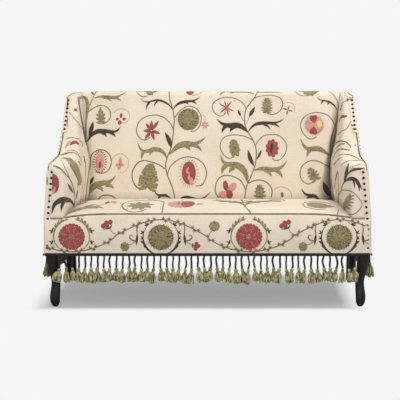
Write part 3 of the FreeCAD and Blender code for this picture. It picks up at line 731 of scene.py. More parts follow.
# %% Legs
FOOT_HEIGHT = 0.08
SOLE_HEIGHT = 0.012
SOLE_TAPER = ((0, 0.8), (20, 1))
for side in ("left", "right"):
    leg = copy_of("front_leg_" + side, "front_leg_carved_" + side)
    modify(leg, "BEVEL", width=1.2 * MM, segments=1, limit_method="ANGLE", angle_limit=math.radians(50))
    modify(leg, "SUBSURF", levels=2)
    lowest = min(vertex.co.z for vertex in leg.data.vertices)
    for vertex in leg.data.vertices:
        vertex.co.z -= lowest * max(0.0, 1 - vertex.co.z / FOOT_HEIGHT)
    sole = middle([vertex.co for vertex in leg.data.vertices if vertex.co.z < SOLE_HEIGHT])
    for vertex in leg.data.vertices:
        drawn = between(SOLE_TAPER, vertex.co.z * 1000)
        vertex.co.x = sole.x + (vertex.co.x - sole.x) * drawn
        vertex.co.y = sole.y + (vertex.co.y - sole.y) * drawn
    finish_piece(leg, ebonised, "ebonised_wood", "front_leg_" + side, smooth=60)
    rear = copy_of("rear_leg_" + side, "rear_leg_eased_" + side)
    modify(rear, "BEVEL", width=2.5 * MM, segments=2, limit_method="ANGLE", angle_limit=math.radians(40))
    finish_piece(rear, stained, "stained_wood", "rear_leg_" + side)


# %% [markdown]
# ## Fringe
# A black braid heading carries twisted black hangers. Each hanger ends in a full tassel of cut
# olive wool, tied at the neck. Wool springs apart when it is cut, so the strands bulge and
# curl. Eight different tassels are made, and each place takes one of them with its own turn.

# %% Braid heading
dice = random.Random(11)
bpy.ops.object.select_all(action="DESELECT")
bpy.ops.mesh.primitive_uv_sphere_add(segments=8, ring_count=6, radius=MM)
plait = bpy.context.active_object
plait.name = "plait"
PLAIT_PITCH = 7.0
PLAIT_LONG, PLAIT_THICK, PLAIT_HIGH = 4.8, 1.5, 2.3
PLAIT_RISE = 2.8
PLAIT_LEAN = 35
PLAIT_SUNK = 0.6
for node, axis in (("fringe_heading_front", 0), ("fringe_heading_left", 1), ("fringe_heading_right", 1)):
    low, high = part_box(node)
    core = copy_of(node, node + "_tape")
    modify(core, "BEVEL", width=0.8 * MM, segments=1)
    pieces = [core]
    count = int((high[axis] - low[axis]) / (PLAIT_PITCH * MM)) - 1
    middle_z = (low.z + high.z) / 2
    for i in range(count):
        along = low[axis] + PLAIT_PITCH * MM * (i + 1)
        for row in (1, -1):
            lift, lean = row * PLAIT_RISE, row * PLAIT_LEAN
            if axis == 0:
                at = Vector((along, low.y + PLAIT_SUNK * MM, middle_z + lift * MM))
            else:
                outer = low.x + PLAIT_SUNK * MM if "left" in node else high.x - PLAIT_SUNK * MM
                at = Vector((outer, along, middle_z + lift * MM))
            across = (PLAIT_LONG, PLAIT_THICK) if axis == 0 else (PLAIT_THICK, PLAIT_LONG)
            size = Matrix.Diagonal((*across, PLAIT_HIGH, 1))
            spin = Matrix.Rotation(math.radians(lean), 4, "Y" if axis == 0 else "X")
            pieces.append(placed(plait, Matrix.Translation(at) @ spin @ size))
    braid = join(pieces, node + "_braid")
    finish_piece(braid, cord_black, "black_braid", node)
discard(plait)


# %% Tassels
TASSEL_KINDS = 8
TASSEL_RATIO = 0.5
HEAD_RADIUS = 5.8
HEAD_CORDS = 8
OUTER_STRANDS = 13
INNER_STRANDS = 7
STRAND_FLARE = ((0.0, 0.2), (0.14, 0.5), (0.36, 0.8), (0.6, 0.98), (0.84, 1.1), (1.0, 1.05))


def strand_points(turn, bulge, length, twist):
    """One strand from the neck, out over its neighbours and down, with its cut end turned back in."""
    path = []
    for t, reach in STRAND_FLARE:
        angle = turn + twist * t
        out = bulge * reach + (dice.uniform(-2.2, 2.2) if t else 0)
        path.append(Vector((out * math.cos(angle), out * math.sin(angle), -14 - length * t)) * MM)
    return path


def make_tassel(name):
    """A tassel that hangs down from the origin at its top."""
    parts = []
    bpy.ops.object.select_all(action="DESELECT")
    bpy.ops.mesh.primitive_uv_sphere_add(segments=12, ring_count=8, radius=HEAD_RADIUS * MM,
                                         location=(0, 0, -7 * MM))
    parts.append(apply_place(bpy.context.active_object))
    for k in range(HEAD_CORDS):
        turn = 2 * math.pi * k / HEAD_CORDS + dice.uniform(-0.3, 0.3)
        top = Vector((math.cos(turn), math.sin(turn), 0))
        rise = dice.uniform(-2.5, 2.5)
        parts.append(cord([Vector((0, 0, (-1 + rise) * MM)),
                           top * 6.0 * MM + Vector((0, 0, (-3 + rise) * MM)),
                           top * 6.6 * MM + Vector((0, 0, -9 * MM)),
                           top * 4.2 * MM + Vector((0, 0, -16 * MM))], (1.4, 2.8, 2.8, 1.8), "head"))
    for k in range(OUTER_STRANDS + INNER_STRANDS):
        outer = k < OUTER_STRANDS
        place_in_ring = k / OUTER_STRANDS if outer else (k - OUTER_STRANDS) / INNER_STRANDS
        turn = 2 * math.pi * place_in_ring + dice.uniform(-0.25, 0.25)
        bulge = dice.uniform(10, 16.5) if outer else dice.uniform(3, 9)
        path = strand_points(turn, bulge, dice.uniform(38, 50), dice.uniform(-1.5, 1.5))
        thick = dice.uniform(3.1, 4.5)
        radii = [thick * dice.uniform(0.75, 1.15) if i else 1.4 for i in range(len(path))]
        parts.append(cord(path, radii, "strand"))
    tassel = join(parts, name)
    modify(tassel, "DECIMATE", ratio=TASSEL_RATIO)
    return tassel


tassels = [make_tassel("tassel_%d" % i) for i in range(TASSEL_KINDS)]
tops = {}
for area in ("front", "left", "right"):
    pieces = []
    tops[area] = []
    for part in loose_parts("fringe_tassels_" + area):
        centre = middle(part)
        top = max(point.z for point in part)
        at = Vector((centre.x, centre.y, top + dice.uniform(-6, 4) * MM))
        tops[area].append(at)
        turn = Matrix.Rotation(dice.uniform(0, 2 * math.pi), 4, "Z")
        tip = Matrix.Rotation(dice.uniform(-0.28, 0.28), 4, "Y" if area == "front" else "X")
        wide, long = dice.uniform(0.82, 1.12), dice.uniform(0.86, 1.08)
        size = Matrix.Diagonal((wide, wide, long, 1))
        pieces.append(placed(dice.choice(tassels), Matrix.Translation(at) @ tip @ turn @ size))
    fringe = join(pieces, "wool_tassels_" + area)
    finish_piece(fringe, fringe_wool_painted_shade, "olive_fringe", "fringe_tassels_" + area, smooth=60)
    print(area, len(tops[area]), "tassels")
discard(*tassels)

# %% Hangers
HANGER_STEPS = 8
HANGER_BOW = 4.5
for area in ("front", "left", "right"):
    pieces = []
    for part in loose_parts("fringe_hangers_" + area):
        high = middle(sorted(part, key=lambda point: -point.z)[:4])
        low = min(tops[area], key=lambda at: (at - middle(part)).length)
        bow = dice.uniform(-HANGER_BOW, HANGER_BOW)
        path = []
        for k in range(HANGER_STEPS + 1):
            t = k / HANGER_STEPS
            at = high.lerp(low, t)
            sway = bow * math.sin(math.pi * t) + 1.2 * math.sin(2 * math.pi * t + bow)
            at.x += sway * MM if area == "front" else 0
            at.y += sway * MM if area != "front" else 0
            path.append(at)
        pieces.append(cord(path, [dice.uniform(4.0, 4.7) for k in path], "hanger"))
    cords = join(pieces, "twisted_hangers_" + area)
    finish_piece(cords, cord_black, "black_braid", "fringe_hangers_" + area, smooth=60)


# %% [markdown]
# ## Embroidery
# The pattern is worked in crewel wool, which stands about a millimetre proud of the linen. Each
# stitched shape is a real strip: a path with a width that swells and thins along it, a rounded
# top, and edges that sink into the cloth. A pattern is set out flat in millimetres, as complex
# numbers, and then sewn onto the finished cover along one direction, so that it follows the
# stuffing under it. Overlapping shapes get slightly different heights, as real stitches do.

# %% Smooth paths
SMOOTH_STEPS = 6


def smooth(points):
    """A smooth run of points through a few given ones."""
    ends = [2 * points[0] - points[1]] + list(points) + [2 * points[-1] - points[-2]]
    run = []
    for a, b, c, d in zip(ends, ends[1:], ends[2:], ends[3:]):
        for k in range(SMOOTH_STEPS):
            t = k / SMOOTH_STEPS
            run.append(0.5 * (2 * b + (c - a) * t + (2 * a - 5 * b + 4 * c - d) * t ** 2
                              + (3 * b - a - 3 * c + d) * t ** 3))
    return run + [points[-1]]


def spaced(points, spacing):
    """Evenly spaced stations on a smooth path, each with its direction, and the path's length."""
    run = smooth(points)
    reach = [0.0]
    for a, b in zip(run, run[1:]):
        reach.append(reach[-1] + abs(b - a))
    count = max(4, round(reach[-1] / spacing))
    stations = []
    for k in range(count + 1):
        want = reach[-1] * k / count
        i = min(max(1, bisect_left(reach, want)), len(run) - 1)
        a, b = run[i - 1], run[i]
        step = reach[i] - reach[i - 1]
        share = (want - reach[i - 1]) / step if step else 0.0
        stations.append((a + (b - a) * share, (b - a) / (abs(b - a) or 1.0)))
    return stations, reach[-1]


def swell(widths, t):
    """Half width at a share of the path, from a few half widths along it."""
    if isinstance(widths, (int, float)):
        return widths
    at = t * (len(widths) - 1)
    i = min(int(at), len(widths) - 2)
    return widths[i] + (widths[i + 1] - widths[i]) * (at - i)


# %% Needlework
EDGE_SUNK = 0.4
RIM = 1.5
LEAST_HALF = 0.15
FULL_HALF = 1.8
CROWN = 0.3
UNEVEN_LIFT = 0.25
CHART_SPAN = 100


class Needlework:
    """Stitched shapes of one area of the cover, kept by wool colour until they are sewn on."""

    def __init__(self, name, sew):
        self.name = name
        self.sew = sew
        self.wools = {}

    def stroke(self, wool, points, widths, lift=1.1, spacing=4.0):
        """Work one strip along a path. Widths are half widths, and the lift is its height."""
        stations, length = spaced(points, spacing)
        lift += dice.uniform(0.0, UNEVEN_LIFT)
        wide = max(widths) if isinstance(widths, tuple) else widths
        cells = 4 if wide < 5 else 6 if wide < 30 else 12
        verts, faces, marks = self.wools.setdefault(wool, ([], [], []))
        previous = None
        for k, (point, way) in enumerate(stations):
            share = k / (len(stations) - 1)
            half = max(LEAST_HALF, swell(widths, share))
            rim = min(0.4, RIM / half)
            row = []
            for c in range(cells + 1):
                s = 2 * c / cells - 1
                s = math.copysign(1 - rim, s) if c in (1, cells - 1) else s
                found = self.sew(point + 1j * way * half * s)
                if not found:
                    row = None
                    break
                top = lift * min(1, half / FULL_HALF) + CROWN * (1 - s * s)
                rise = -EDGE_SUNK if c in (0, cells) else top
                row.append(len(verts))
                verts.append(found[0] + found[1] * rise * MM)
                marks.append((length * share / CHART_SPAN, half * s / CHART_SPAN))
            if row and previous:
                for c in range(cells):
                    faces.append((previous[c], row[c], row[c + 1], previous[c + 1]))
                faces.append((previous[0], previous[-1], row[-1], row[0]))
            if row and not previous:
                faces.append(tuple(row))
            if previous and not row:
                faces.append(tuple(reversed(previous)))
            previous = row
        if previous:
            faces.append(tuple(reversed(previous)))

    def finish(self):
        """Make one piece of each wool of this area."""
        for wool, (verts, faces, marks) in self.wools.items():
            data = bpy.data.meshes.new(self.name + "_" + wool)
            data.from_pydata(verts, [], faces)
            chart = data.uv_layers.new(name="stitches")
            for loop in data.loops:
                chart.data[loop.index].uv = marks[loop.vertex_index]
            piece = bpy.data.objects.new(data.name, data)
            bpy.context.scene.collection.objects.link(piece)
            edit(piece, lambda: bpy.ops.mesh.delete_loose(), outwards)
            finish_piece(piece, wools[wool], "embroidered_linen", smooth=180)
            print(data.name, len(verts), "points")


# %% Motifs
LEAF_PROFILE = (0.2, 0.6, 0.92, 1.0, 0.9, 0.66, 0.42, 0.08)
OLIVE_FULLER = 1.15


def turned(degrees, length=1.0):
    """A step in the pattern's plane, at an angle from the right."""
    return cmath.rect(length, math.radians(degrees))


def leaf(work, wool, base, tip, width, curl=0.0, lift=1.1):
    """A single pointed leaf from its base to its tip."""
    axis = tip - base
    path = [base, base + axis * (0.5 + 1j * curl), tip]
    work.stroke(wool, path, (0.5, 0.75 * width, width, 0.7 * width, 0.3), lift)


def trail(*numbers):
    """Pattern points from numbers in pairs, across and up."""
    return [complex(x, z) for x, z in zip(numbers[::2], numbers[1::2])]


def vine(work, half, *numbers):
    """A stem through pattern points given as numbers in pairs, with one half width all along."""
    work.stroke("stem", trail(*numbers), half, 1.0)


def acanthus(work, wool, path, half, *barbs):
    """A curling leaf along its middle line, with hooked barbs. A barb is its two ends and half width."""
    full = OLIVE_FULLER if wool == "olive" else 1.0
    half *= full
    work.stroke(wool, path, tuple(half * share for share in LEAF_PROFILE), 1.3)
    for x0, z0, x1, z1, wide in barbs:
        start, end = complex(x0, z0), complex(x1, z1)
        bow = (start + end) / 2 + (end - start) * (0.12j if x1 > x0 else -0.12j)
        wide *= full
        work.stroke(wool, [start, bow, end], (wide, wide * 1.05, wide * 0.7, 0.4), 1.3)


def frond(work, wool, base, side, size=1.0, fat=1.0, turn=0.0):
    """The same leaf in one standard shape. Side is 1 to the right and -1 to the left."""
    spin = turned(turn * side, size)

    def at(x, y):
        return base + spin * complex(x * side, y)

    def lobe(points, widths):
        work.stroke(wool, [at(*point) for point in points], tuple(w * size * fat for w in widths), 1.3)

    lobe(((0, 0), (12, 18), (38, 38), (75, 45), (112, 43), (145, 50), (166, 70)),
         (1.4, 2.8, 5.5, 8.5, 10.5, 11, 9, 6.5, 4.8, 3.2, 0.5))
    lobe(((84, 42), (104, 34), (120, 14)), (7, 8, 4.5, 0.5))
    lobe(((112, 42), (138, 36), (156, 20)), (6, 6.5, 3.5, 0.5))
    lobe(((58, 38), (74, 30), (80, 20)), (6, 5.5, 0.5))


def loop(work, start, centre, rx, ry, first, sweep, width=2.3):
    """A thin tendril that leaves its vine and runs round a flower."""
    path = [start]
    count = max(4, int(abs(sweep) / 30))
    for k in range(count + 1):
        angle = math.radians(first + sweep * k / count)
        shrink = 1 - 0.12 * (k / count) ** 2
        path.append(centre + complex(rx * math.cos(angle), ry * math.sin(angle)) * shrink)
    work.stroke("stem", path, (width, width, width, width * 0.7), 1.0)


def star(work, wool, centre, reach, petals, fat=0.17, inner=0.16):
    """A flower of a few pointed petals, the first one upright."""
    for k in range(petals):
        way = turned(90 + 360 * k / petals)
        work.stroke(wool, [centre + way * reach * inner, centre + way * reach * 0.55, centre + way * reach],
                    (0.07 * reach, fat * reach, 0.8 * fat * reach, 0.4), 1.2)


# One layer of petals: how many, where they start and end as shares of the reach, and their lift.
PETAL_LAYERS = ((40, 0.55, 1.0, 1.0), (28, 0.26, 0.76, 1.5), (14, 0.02, 0.44, 2.0))


def chrysanthemum(work, wool, centre, reach, ground=None):
    """A round flower of many narrow petals in three layers, over a ground of its own colour or another."""
    oval(work, ground or wool, centre, reach * 0.9, reach * 0.9, 0.5)
    for count, inner, outer, lift in PETAL_LAYERS:
        for k in range(count):
            way = turned(360 * k / count + dice.uniform(-3, 3))
            bow = turned(dice.uniform(-5, 5))
            half = 0.8 * math.pi * outer * reach / count
            end = outer * dice.uniform(0.95, 1.02)
            work.stroke(wool, [centre + way * reach * inner, centre + way * bow * reach * (inner + end) / 2,
                               centre + way * reach * end], (half * 0.5, half, half * 0.9, 0.4), lift)


def feather(work, wool, base, tip, width, pairs, blunt=0.1, full=0.6, filled=0.62):
    """A cone or a lobed leaf: barbs fan from a spine, straight out at its foot and forwards at its tip."""
    axis = tip - base
    way = axis / abs(axis)
    gap = abs(axis) / pairs
    body = tuple(filled * width * math.sin(math.pi * (0.06 + 0.9 * k / 10) ** full) ** 0.7
                 for k in range(11))
    work.stroke(wool, [base, base + axis * 0.5, base + axis * 0.96], body, 0.8)
    for k in range(pairs):
        t = (k + 0.4) / pairs
        reach = width * math.sin(math.pi * (0.08 + 0.84 * t) ** full) ** 0.6
        for side in (1, -1):
            out = way * turned(side * (112 - 76 * t) + dice.uniform(-5, 5),
                               reach * dice.uniform(0.94, 1.05))
            root = base + axis * t * 0.88
            work.stroke(wool, [root, root + out * 0.5 * turned(side * 7), root + out],
                        (gap * 0.35, gap * 0.55, gap * (0.45 + 0.2 * blunt), 0.4 + gap * 0.5 * blunt),
                        1.1, 3.0)
    work.stroke(wool, [base, base + axis * 0.5, tip], (1.5, gap * 0.5, gap * 0.45, 0.5), 1.7)


def petals(work, wool, centre, half, hollow, *tips):
    """Petals from near a centre to each of some tips, given as pairs of numbers."""
    for tip in trail(*tips):
        root = centre + (tip - centre) * hollow
        work.stroke(wool, [root, (root + tip) / 2, tip], (half * 0.35, half, half * 0.85, 0.5), 1.2)


def lobes(work, wool, centre, rx, ry, count, half, start=90):
    """A round flower of blunt petals that touch at its middle."""
    for k in range(count):
        angle = math.radians(start + 360 * k / count)
        end = centre + complex(rx * math.cos(angle), ry * math.sin(angle))
        work.stroke(wool, [centre, (centre + end) / 2, end],
                    (half * 0.4, half * 0.8, half, half * 0.95, half * 0.4), 1.2)


def oval(work, wool, centre, rx, ry, lift=1.1, turn=0.0):
    """A filled oval, wide in the middle of an upright path."""
    way = turned(90 + turn)
    widths = tuple(rx * math.sqrt(max(0.0, 1 - (k / 10 - 1) ** 2)) for k in range(21))
    work.stroke(wool, [centre - way * ry, centre, centre + way * ry], widths, lift, ry / 10)


def hairs(work, wool, centre, rx, ry, count, length, width):
    """Short straight stitches that stand out all round an oval."""
    for k in range(count):
        angle = math.radians(360 * k / count)
        way = complex(math.cos(angle), math.sin(angle))
        root = centre + complex(rx * math.cos(angle), ry * math.sin(angle))
        work.stroke(wool, [root, root + way * length * 0.5, root + way * length], (width, width, 0.4), 1.0)


def sprig(work, wool, at, turn, size):
    """Three small leaves from one place."""
    for angle, length in ((0, 1.0), (55, 0.8), (-55, 0.8)):
        leaf(work, wool, at, at + turned(turn + angle, size * length), size * 0.2)


# %% [markdown]
# ## Where each area's pattern lands
# Each area has one function from a pattern point to a place on the cloth and the way out of it.
# The back is sewn from the front, and over its rolled top edge. The border is sewn from the
# front, the seat from above.

# %% Sewing directions
def cast(tree, origin, way):
    """Where a straight stitch meets the cloth, and the way out of it there."""
    point, outward = tree.ray_cast(origin, way)[:2]
    return (point, outward) if point else None


back_tree = on_surface(back_pad)
seat_tree = on_surface(seat_pad)
border_tree = on_surface(border_pad)
FORWARD = Vector((0, 1, 0))
DOWN = Vector((0, 0, -1))
BACK_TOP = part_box("back_cover")[1].z
TOP_ROUND = 24.0 * MM
# Stitches start from well outside the sofa, at these distances from the origin in metres.
IN_FRONT = -1
BEHIND = 1.2
ABOVE_BACK = 1.2
ABOVE_SEAT = 0.7
back_edge = cast(back_tree, Vector((0, IN_FRONT, BACK_TOP - TOP_ROUND)), FORWARD)[0].y + TOP_ROUND


def on_back(z):
    """The front of the back pad, then its rolled edge, then its top."""
    over = (z.imag * MM - (BACK_TOP - TOP_ROUND)) / TOP_ROUND
    if over <= 0:
        return cast(back_tree, Vector((z.real * MM, IN_FRONT, z.imag * MM)), FORWARD)
    if over < math.pi / 2:
        centre = Vector((z.real * MM, back_edge, BACK_TOP - TOP_ROUND))
        out = Vector((0, -math.cos(over), math.sin(over)))
        return cast(back_tree, centre + out * 0.1, -out)
    over -= math.pi / 2
    return cast(back_tree, Vector((z.real * MM, back_edge + over * TOP_ROUND, ABOVE_BACK)), DOWN)


def on_border(z):
    return cast(border_tree, Vector((z.real * MM, IN_FRONT, z.imag * MM)), FORWARD)


def on_seat(z):
    return cast(seat_tree, Vector((z.real * MM, z.imag * MM, ABOVE_SEAT)), DOWN)


# %% [markdown]
# ## Back pattern
# Two climbing vines make the repeat, a wavy one and its mirror, with pairs of curling leaves and
# loops that each hold a flower. The outer vines are the same two again, cut by the arms.

# %% Vines of the back
back = Needlework("back_embroidery", on_back)
back.stroke("stem", trail(-200, 930, -196, 880, -187, 850, -179, 823, -173, 786, -175, 742, -179, 695,
                          -187, 649, -199, 619, -208, 592, -211, 559, -201, 519, -187, 486, -175, 453,
                          -167, 416, -163, 385), 2.8, 1.2, 6.0)
back.stroke("stem", trail(228, 930, 210, 890, 190, 863, 171, 840, 162, 813, 160, 779, 164, 749, 175, 725,
                          192, 699, 207, 669, 215, 635, 214, 602, 208, 566, 198, 536, 185, 506, 173, 481,
                          166, 453, 161, 421, 158, 385), 2.7, 1.2, 6.0)
back.stroke("olive", trail(-580, 395, -580, 463, -572, 529, -569, 579, -578, 629, -587, 675, -590, 729,
                           -590, 779, -581, 833, -565, 873, -542, 930), (6.5, 6, 5.5, 4.6, 3.6, 3, 2.8),
            1.2, 6.0)
back.stroke("stem", trail(561, 925, 581, 901, 597, 877, 604, 850, 602, 823, 599, 789, 588, 749, 574, 715,
                          567, 682, 564, 649, 566, 610, 572, 560), (1.6, 2.0, 2.8, 3, 3), 1.2, 6.0)

# %% Wavy vine, left of the middle
acanthus(back, "brown",
         trail(-180, 826, -194, 846, -218, 863, -249, 873, -279, 869, -303, 864, -322, 869, -333, 881),
         5.5, (-252, 870, -269, 842, 3.8), (-288, 867, -307, 825, 5))
acanthus(back, "brown", trail(-178, 829, -167, 846, -147, 860, -120, 866, -93, 869, -69, 876, -51, 890),
         7.5, (-126, 862, -105, 853, 4), (-89, 867, -67, 853, 4.5))
acanthus(back, "olive", trail(-193, 619, -179, 635, -148, 660, -111, 668, -78, 667, -51, 679, -23, 699), 13,
         (-121, 660, -94, 635, 7), (-81, 662, -41, 633, 7))
acanthus(back, "olive",
         trail(-206, 599, -215, 619, -238, 639, -266, 643, -293, 635, -317, 635, -334, 649, -345, 672),
         9.5, (-270, 639, -287, 614, 5), (-313, 636, -324, 595, 6.5))
acanthus(back, "brown", trail(-186, 416, -210, 429, -233, 429, -250, 434, -264, 448), 7,
         (-233, 427, -246, 411, 5))
acanthus(back, "brown", trail(-156, 398, -136, 416, -113, 422, -86, 416, -56, 411, -29, 419, -1, 445), 7)
vine(back, 2.3, -175, 731, -190, 762, -214, 786, -241, 799, -268, 803, -306, 796, -336, 776, -350, 745,
     -350, 722, -338, 699, -317, 686, -299, 690, -284, 702)
petals(back, "red", -281 + 730j, 8.2, 0.08, -280, 778, -246, 776, -239, 716, -266, 685, -311, 689,
       -320, 729, -307, 764)
vine(back, 2.1, -171, 790, -150, 820, -121, 840, -94, 844, -65, 830, -48, 803, -46, 776, -55, 747,
     -78, 727, -95, 727)
chrysanthemum(back, "olive", -106 + 783j, 56, "moss")
loop(back, -44 + 792j, -44 + 782j, 22, 22, 90, -100, 0.9)
star(back, "pink", -27 + 757j, 20, 7, 0.2)
leaf(back, "brown", -186 + 648j, -217 + 724j, 11, -0.05)
vine(back, 2.9, -215, 552, -238, 569, -272, 582, -313, 591, -343, 579, -362, 552, -369, 523, -363, 493,
     -344, 466, -325, 461)
feather(back, "olive", -296 + 466j, -281 + 580j, 47, 10, 0.9, 0.5, 0.78)
for reach in (-24, -10, 9, 22):
    back.stroke("olive", [-292 + 490j, complex(-294 + reach * 0.8, 470),
                          complex(-294 + reach * 1.3, 452 - reach * 0.15)], (4, 6.5, 5, 0.5), 1.2)
vine(back, 2.6, -204, 524, -191, 559, -165, 586, -131, 604, -94, 607, -57, 595, -30, 569, -19, 533,
     -26, 500, -43, 476, -70, 473)
oval(back, "red", -102 + 533j, 33, 54, 1.0)
back.stroke("pink", trail(-103, 561, -111, 540, -100, 528, -103, 512, -92, 500, -89, 480),
            (3, 6, 7, 4, 6, 10, 11, 6), 1.8)
hairs(back, "pink", -102 + 533j, 36, 56, 26, 15, 1.8)

# %% Mirrored vine, right of the middle
acanthus(back, "olive", trail(207, 904, 190, 911, 163, 916, 132, 917, 101, 917, 74, 919, 57, 922), 4.5,
         (108, 914, 89, 903, 3.5), (64, 918, 44, 897, 5))
acanthus(back, "olive", trail(222, 914, 265, 916, 305, 915, 345, 908), 4)
vine(back, 2.1, 167, 833, 159, 850, 139, 870, 108, 883, 77, 887, 40, 880, 13, 860, 7, 836, 20, 813,
     40, 799, 57, 801, 71, 814)
petals(back, "red", 74 + 836j, 3.6, 0.03, 64, 872, 98, 868, 111, 821, 85, 798, 41, 812, 38, 859)
petals(back, "pink", 74 + 836j, 3.2, 0.03, 80, 862, 96, 845, 92, 815, 62, 806, 50, 836)
vine(back, 2.1, 207, 884, 230, 891, 264, 896, 298, 895, 329, 883, 341, 860, 335, 833, 315, 813, 288, 805,
     267, 813)
feather(back, "olive", 265 + 816j, 268 + 886j, 28, 7, 0.25, 0.8)
vine(back, 0.9, 342, 856, 370, 862, 391, 853, 399, 833, 396, 814)
petals(back, "red", 364 + 828j, 4.6, 0.12, 341, 835, 373, 846, 388, 820, 360, 803)
leaf(back, "brown", 142 + 797j, 128 + 828j, 6.5)
leaf(back, "brown", 182 + 792j, 210 + 843j, 9.5, 0.02)
vine(back, 1.3, 142, 798, 150, 783, 161, 769)
vine(back, 1.3, 182, 793, 175, 778, 169, 762)
acanthus(back, "brown", trail(176, 723, 155, 741, 132, 754, 104, 754, 77, 755, 50, 765, 29, 783), 14,
         (111, 747, 91, 724, 8.5), (76, 754, 52, 718, 8.5))
acanthus(back, "brown",
         trail(177, 725, 189, 741, 209, 758, 240, 765, 270, 766, 304, 767, 328, 774, 347, 788), 8.5,
         (250, 759, 284, 734, 5), (284, 762, 329, 743, 5))
vine(back, 2.2, 196, 685, 182, 695, 155, 705, 121, 710, 84, 707, 57, 692, 45, 665, 49, 639, 64, 615,
     88, 601, 111, 609)
feather(back, "olive", 117 + 618j, 105 + 690j, 25, 4, 1.0, 0.8)
oval(back, "olive", 110 + 655j, 17, 36, 0.9, 9)
vine(back, 2.1, 214, 665, 226, 685, 250, 705, 283, 712, 317, 709, 344, 689, 358, 662, 354, 629, 336, 602,
     309, 590, 289, 600)
lobes(back, "red", 290 + 648j, 31, 43, 9, 12, 80)
oval(back, "brown", 287 + 649j, 8, 24, 2.3, -8)
leaf(back, "brown", 205 + 562j, 175 + 643j, 10.5, 0.05)
leaf(back, "brown", 217 + 595j, 240 + 642j, 6, -0.03)
acanthus(back, "olive", trail(204, 544, 229, 552, 259, 552, 292, 548, 323, 555, 343, 569, 359, 590), 10,
         (255, 546, 288, 514, 6.5), (306, 546, 339, 507, 7.5))
acanthus(back, "olive",
         trail(174, 486, 168, 516, 155, 546, 131, 566, 104, 572, 77, 575, 57, 589, 46, 616), 14,
         (111, 559, 87, 533, 8.5), (76, 572, 52, 527, 9))
vine(back, 2.8, 164, 455, 148, 490, 124, 509, 87, 521, 54, 518, 31, 496, 22, 463, 26, 437, 39, 419)
for wool, centre, rx, ry, lean in (("red", 71 + 474j, 13, 24, 10), ("pink", 103 + 467j, 16, 25, -38),
                                   ("pink", 58 + 434j, 21, 17, 0), ("red", 88 + 435j, 17, 21, 10)):
    oval(back, wool, centre, rx, ry, 1.2, lean)
vine(back, 2.8, 177, 485, 201, 496, 228, 500, 258, 493, 282, 470, 289, 447, 285, 421)
feather(back, "olive", 231 + 412j, 231 + 482j, 28, 5, 0.3, 0.6)
vine(back, 1, 295, 450, 312, 465, 338, 468, 365, 457, 378, 437, 379, 421)
oval(back, "red", 336 + 432j, 7, 13)

# %% Outer vines
back.stroke("olive", trail(-617, 880, -603, 887, -590, 872, -586, 838, -588, 800, -590, 772),
            (5, 8.5, 8, 7, 5, 2), 1.6)
acanthus(back, "olive", trail(-553, 883, -528, 890, -497, 888, -463, 886, -433, 895, -404, 915), 7,
         (-511, 885, -473, 868, 5), (-467, 883, -426, 870, 5))
leaf(back, "brown", -557 + 898j, -572 + 920j, 5)
loop(back, -580 + 818j, -521 + 803j, 48, 46, 130, -250)
feather(back, "olive", -519 + 770j, -523 + 826j, 25, 4, 0.2, 0.7, 0.45)
leaf(back, "olive", -523 + 808j, -524 + 842j, 7)
loop(back, -466 + 815j, -423 + 797j, 40, 36, 150, -250, 0.9)
for heart, rx, ry in ((-425 + 800j, 7, 12), (-411 + 784j, 8, 7), (-443 + 784j, 8, 6),
                      (-431 + 768j, 10, 11)):
    oval(back, "red", heart, rx, ry)
leaf(back, "brown", -576 + 706j, -556 + 774j, 11, -0.03)
acanthus(back, "brown",
         trail(-582, 679, -563, 709, -534, 726, -497, 727, -460, 725, -440, 732, -426, 748), 11.5,
         (-514, 720, -491, 700, 7), (-477, 721, -449, 700, 7))
loop(back, -570 + 560j, -517 + 583j, 52, 58, 150, -270, 2.8)
oval(back, "pink", -521 + 584j, 21, 41, 1.0)
oval(back, "red", -520 + 571j, 8, 17, 1.7)
hairs(back, "red", -521 + 584j, 24, 44, 24, 11, 2.8)
loop(back, -468 + 585j, -426 + 576j, 42, 46, 140, -250, 0.9)
petals(back, "pink", -427 + 571j, 9, 0.05, -424, 608, -405, 571, -432, 545, -449, 569)
oval(back, "red", -427 + 571j, 4, 4, 1.8)
leaf(back, "brown", -574 + 475j, -548 + 519j, 8, -0.05)
acanthus(back, "olive",
         trail(-579, 419, -565, 453, -539, 476, -505, 486, -479, 491, -460, 503, -446, 521), 13,
         (-528, 471, -504, 447, 8), (-492, 478, -452, 461, 8))
vine(back, 3, -530, 405, -511, 426, -484, 431, -457, 425, -436, 405)
acanthus(back, "brown", trail(601, 824, 587, 846, 567, 863, 543, 870, 519, 875, 502, 887), 5,
         (534, 868, 522, 853, 3.8), (563, 865, 555, 849, 3.8))
vine(back, 2.2, 588, 749, 575, 779, 552, 803, 518, 814, 484, 814, 450, 799, 430, 776, 425, 749, 436, 719,
     459, 695, 479, 691, 500, 702)
oval(back, "pink", 490 + 757j, 40, 42, 1.0)
hairs(back, "pink", 490 + 757j, 39, 40, 44, 10, 1.8)
back.stroke("red", trail(491, 764, 487, 783, 485, 801), (1.5, 10, 18, 20, 15), 1.7)
back.stroke("red", trail(488, 750, 486, 731, 482, 714), (1.5, 10, 18, 20, 15), 1.7)
oval(back, "yellow", 514 + 760j, 13, 18, 1.8)
acanthus(back, "olive", trail(560, 614, 532, 634, 509, 645, 482, 645, 458, 645, 438, 662, 424, 691), 11,
         (472, 641, 453, 606, 7))
vine(back, 2.5, 566, 556, 541, 569, 514, 584, 481, 591, 451, 582, 427, 559, 421, 529, 429, 500, 456, 482,
     476, 489, 493, 501)
feather(back, "olive", 496 + 503j, 461 + 556j, 28, 5, 0.3, 0.6, 0.4)
leaf(back, "brown", 566 + 416j, 527 + 494j, 14, 0.03)
acanthus(back, "brown", trail(520, 395, 492, 424, 465, 429, 442, 437, 426, 461), 8.5,
         (478, 424, 445, 411, 6))

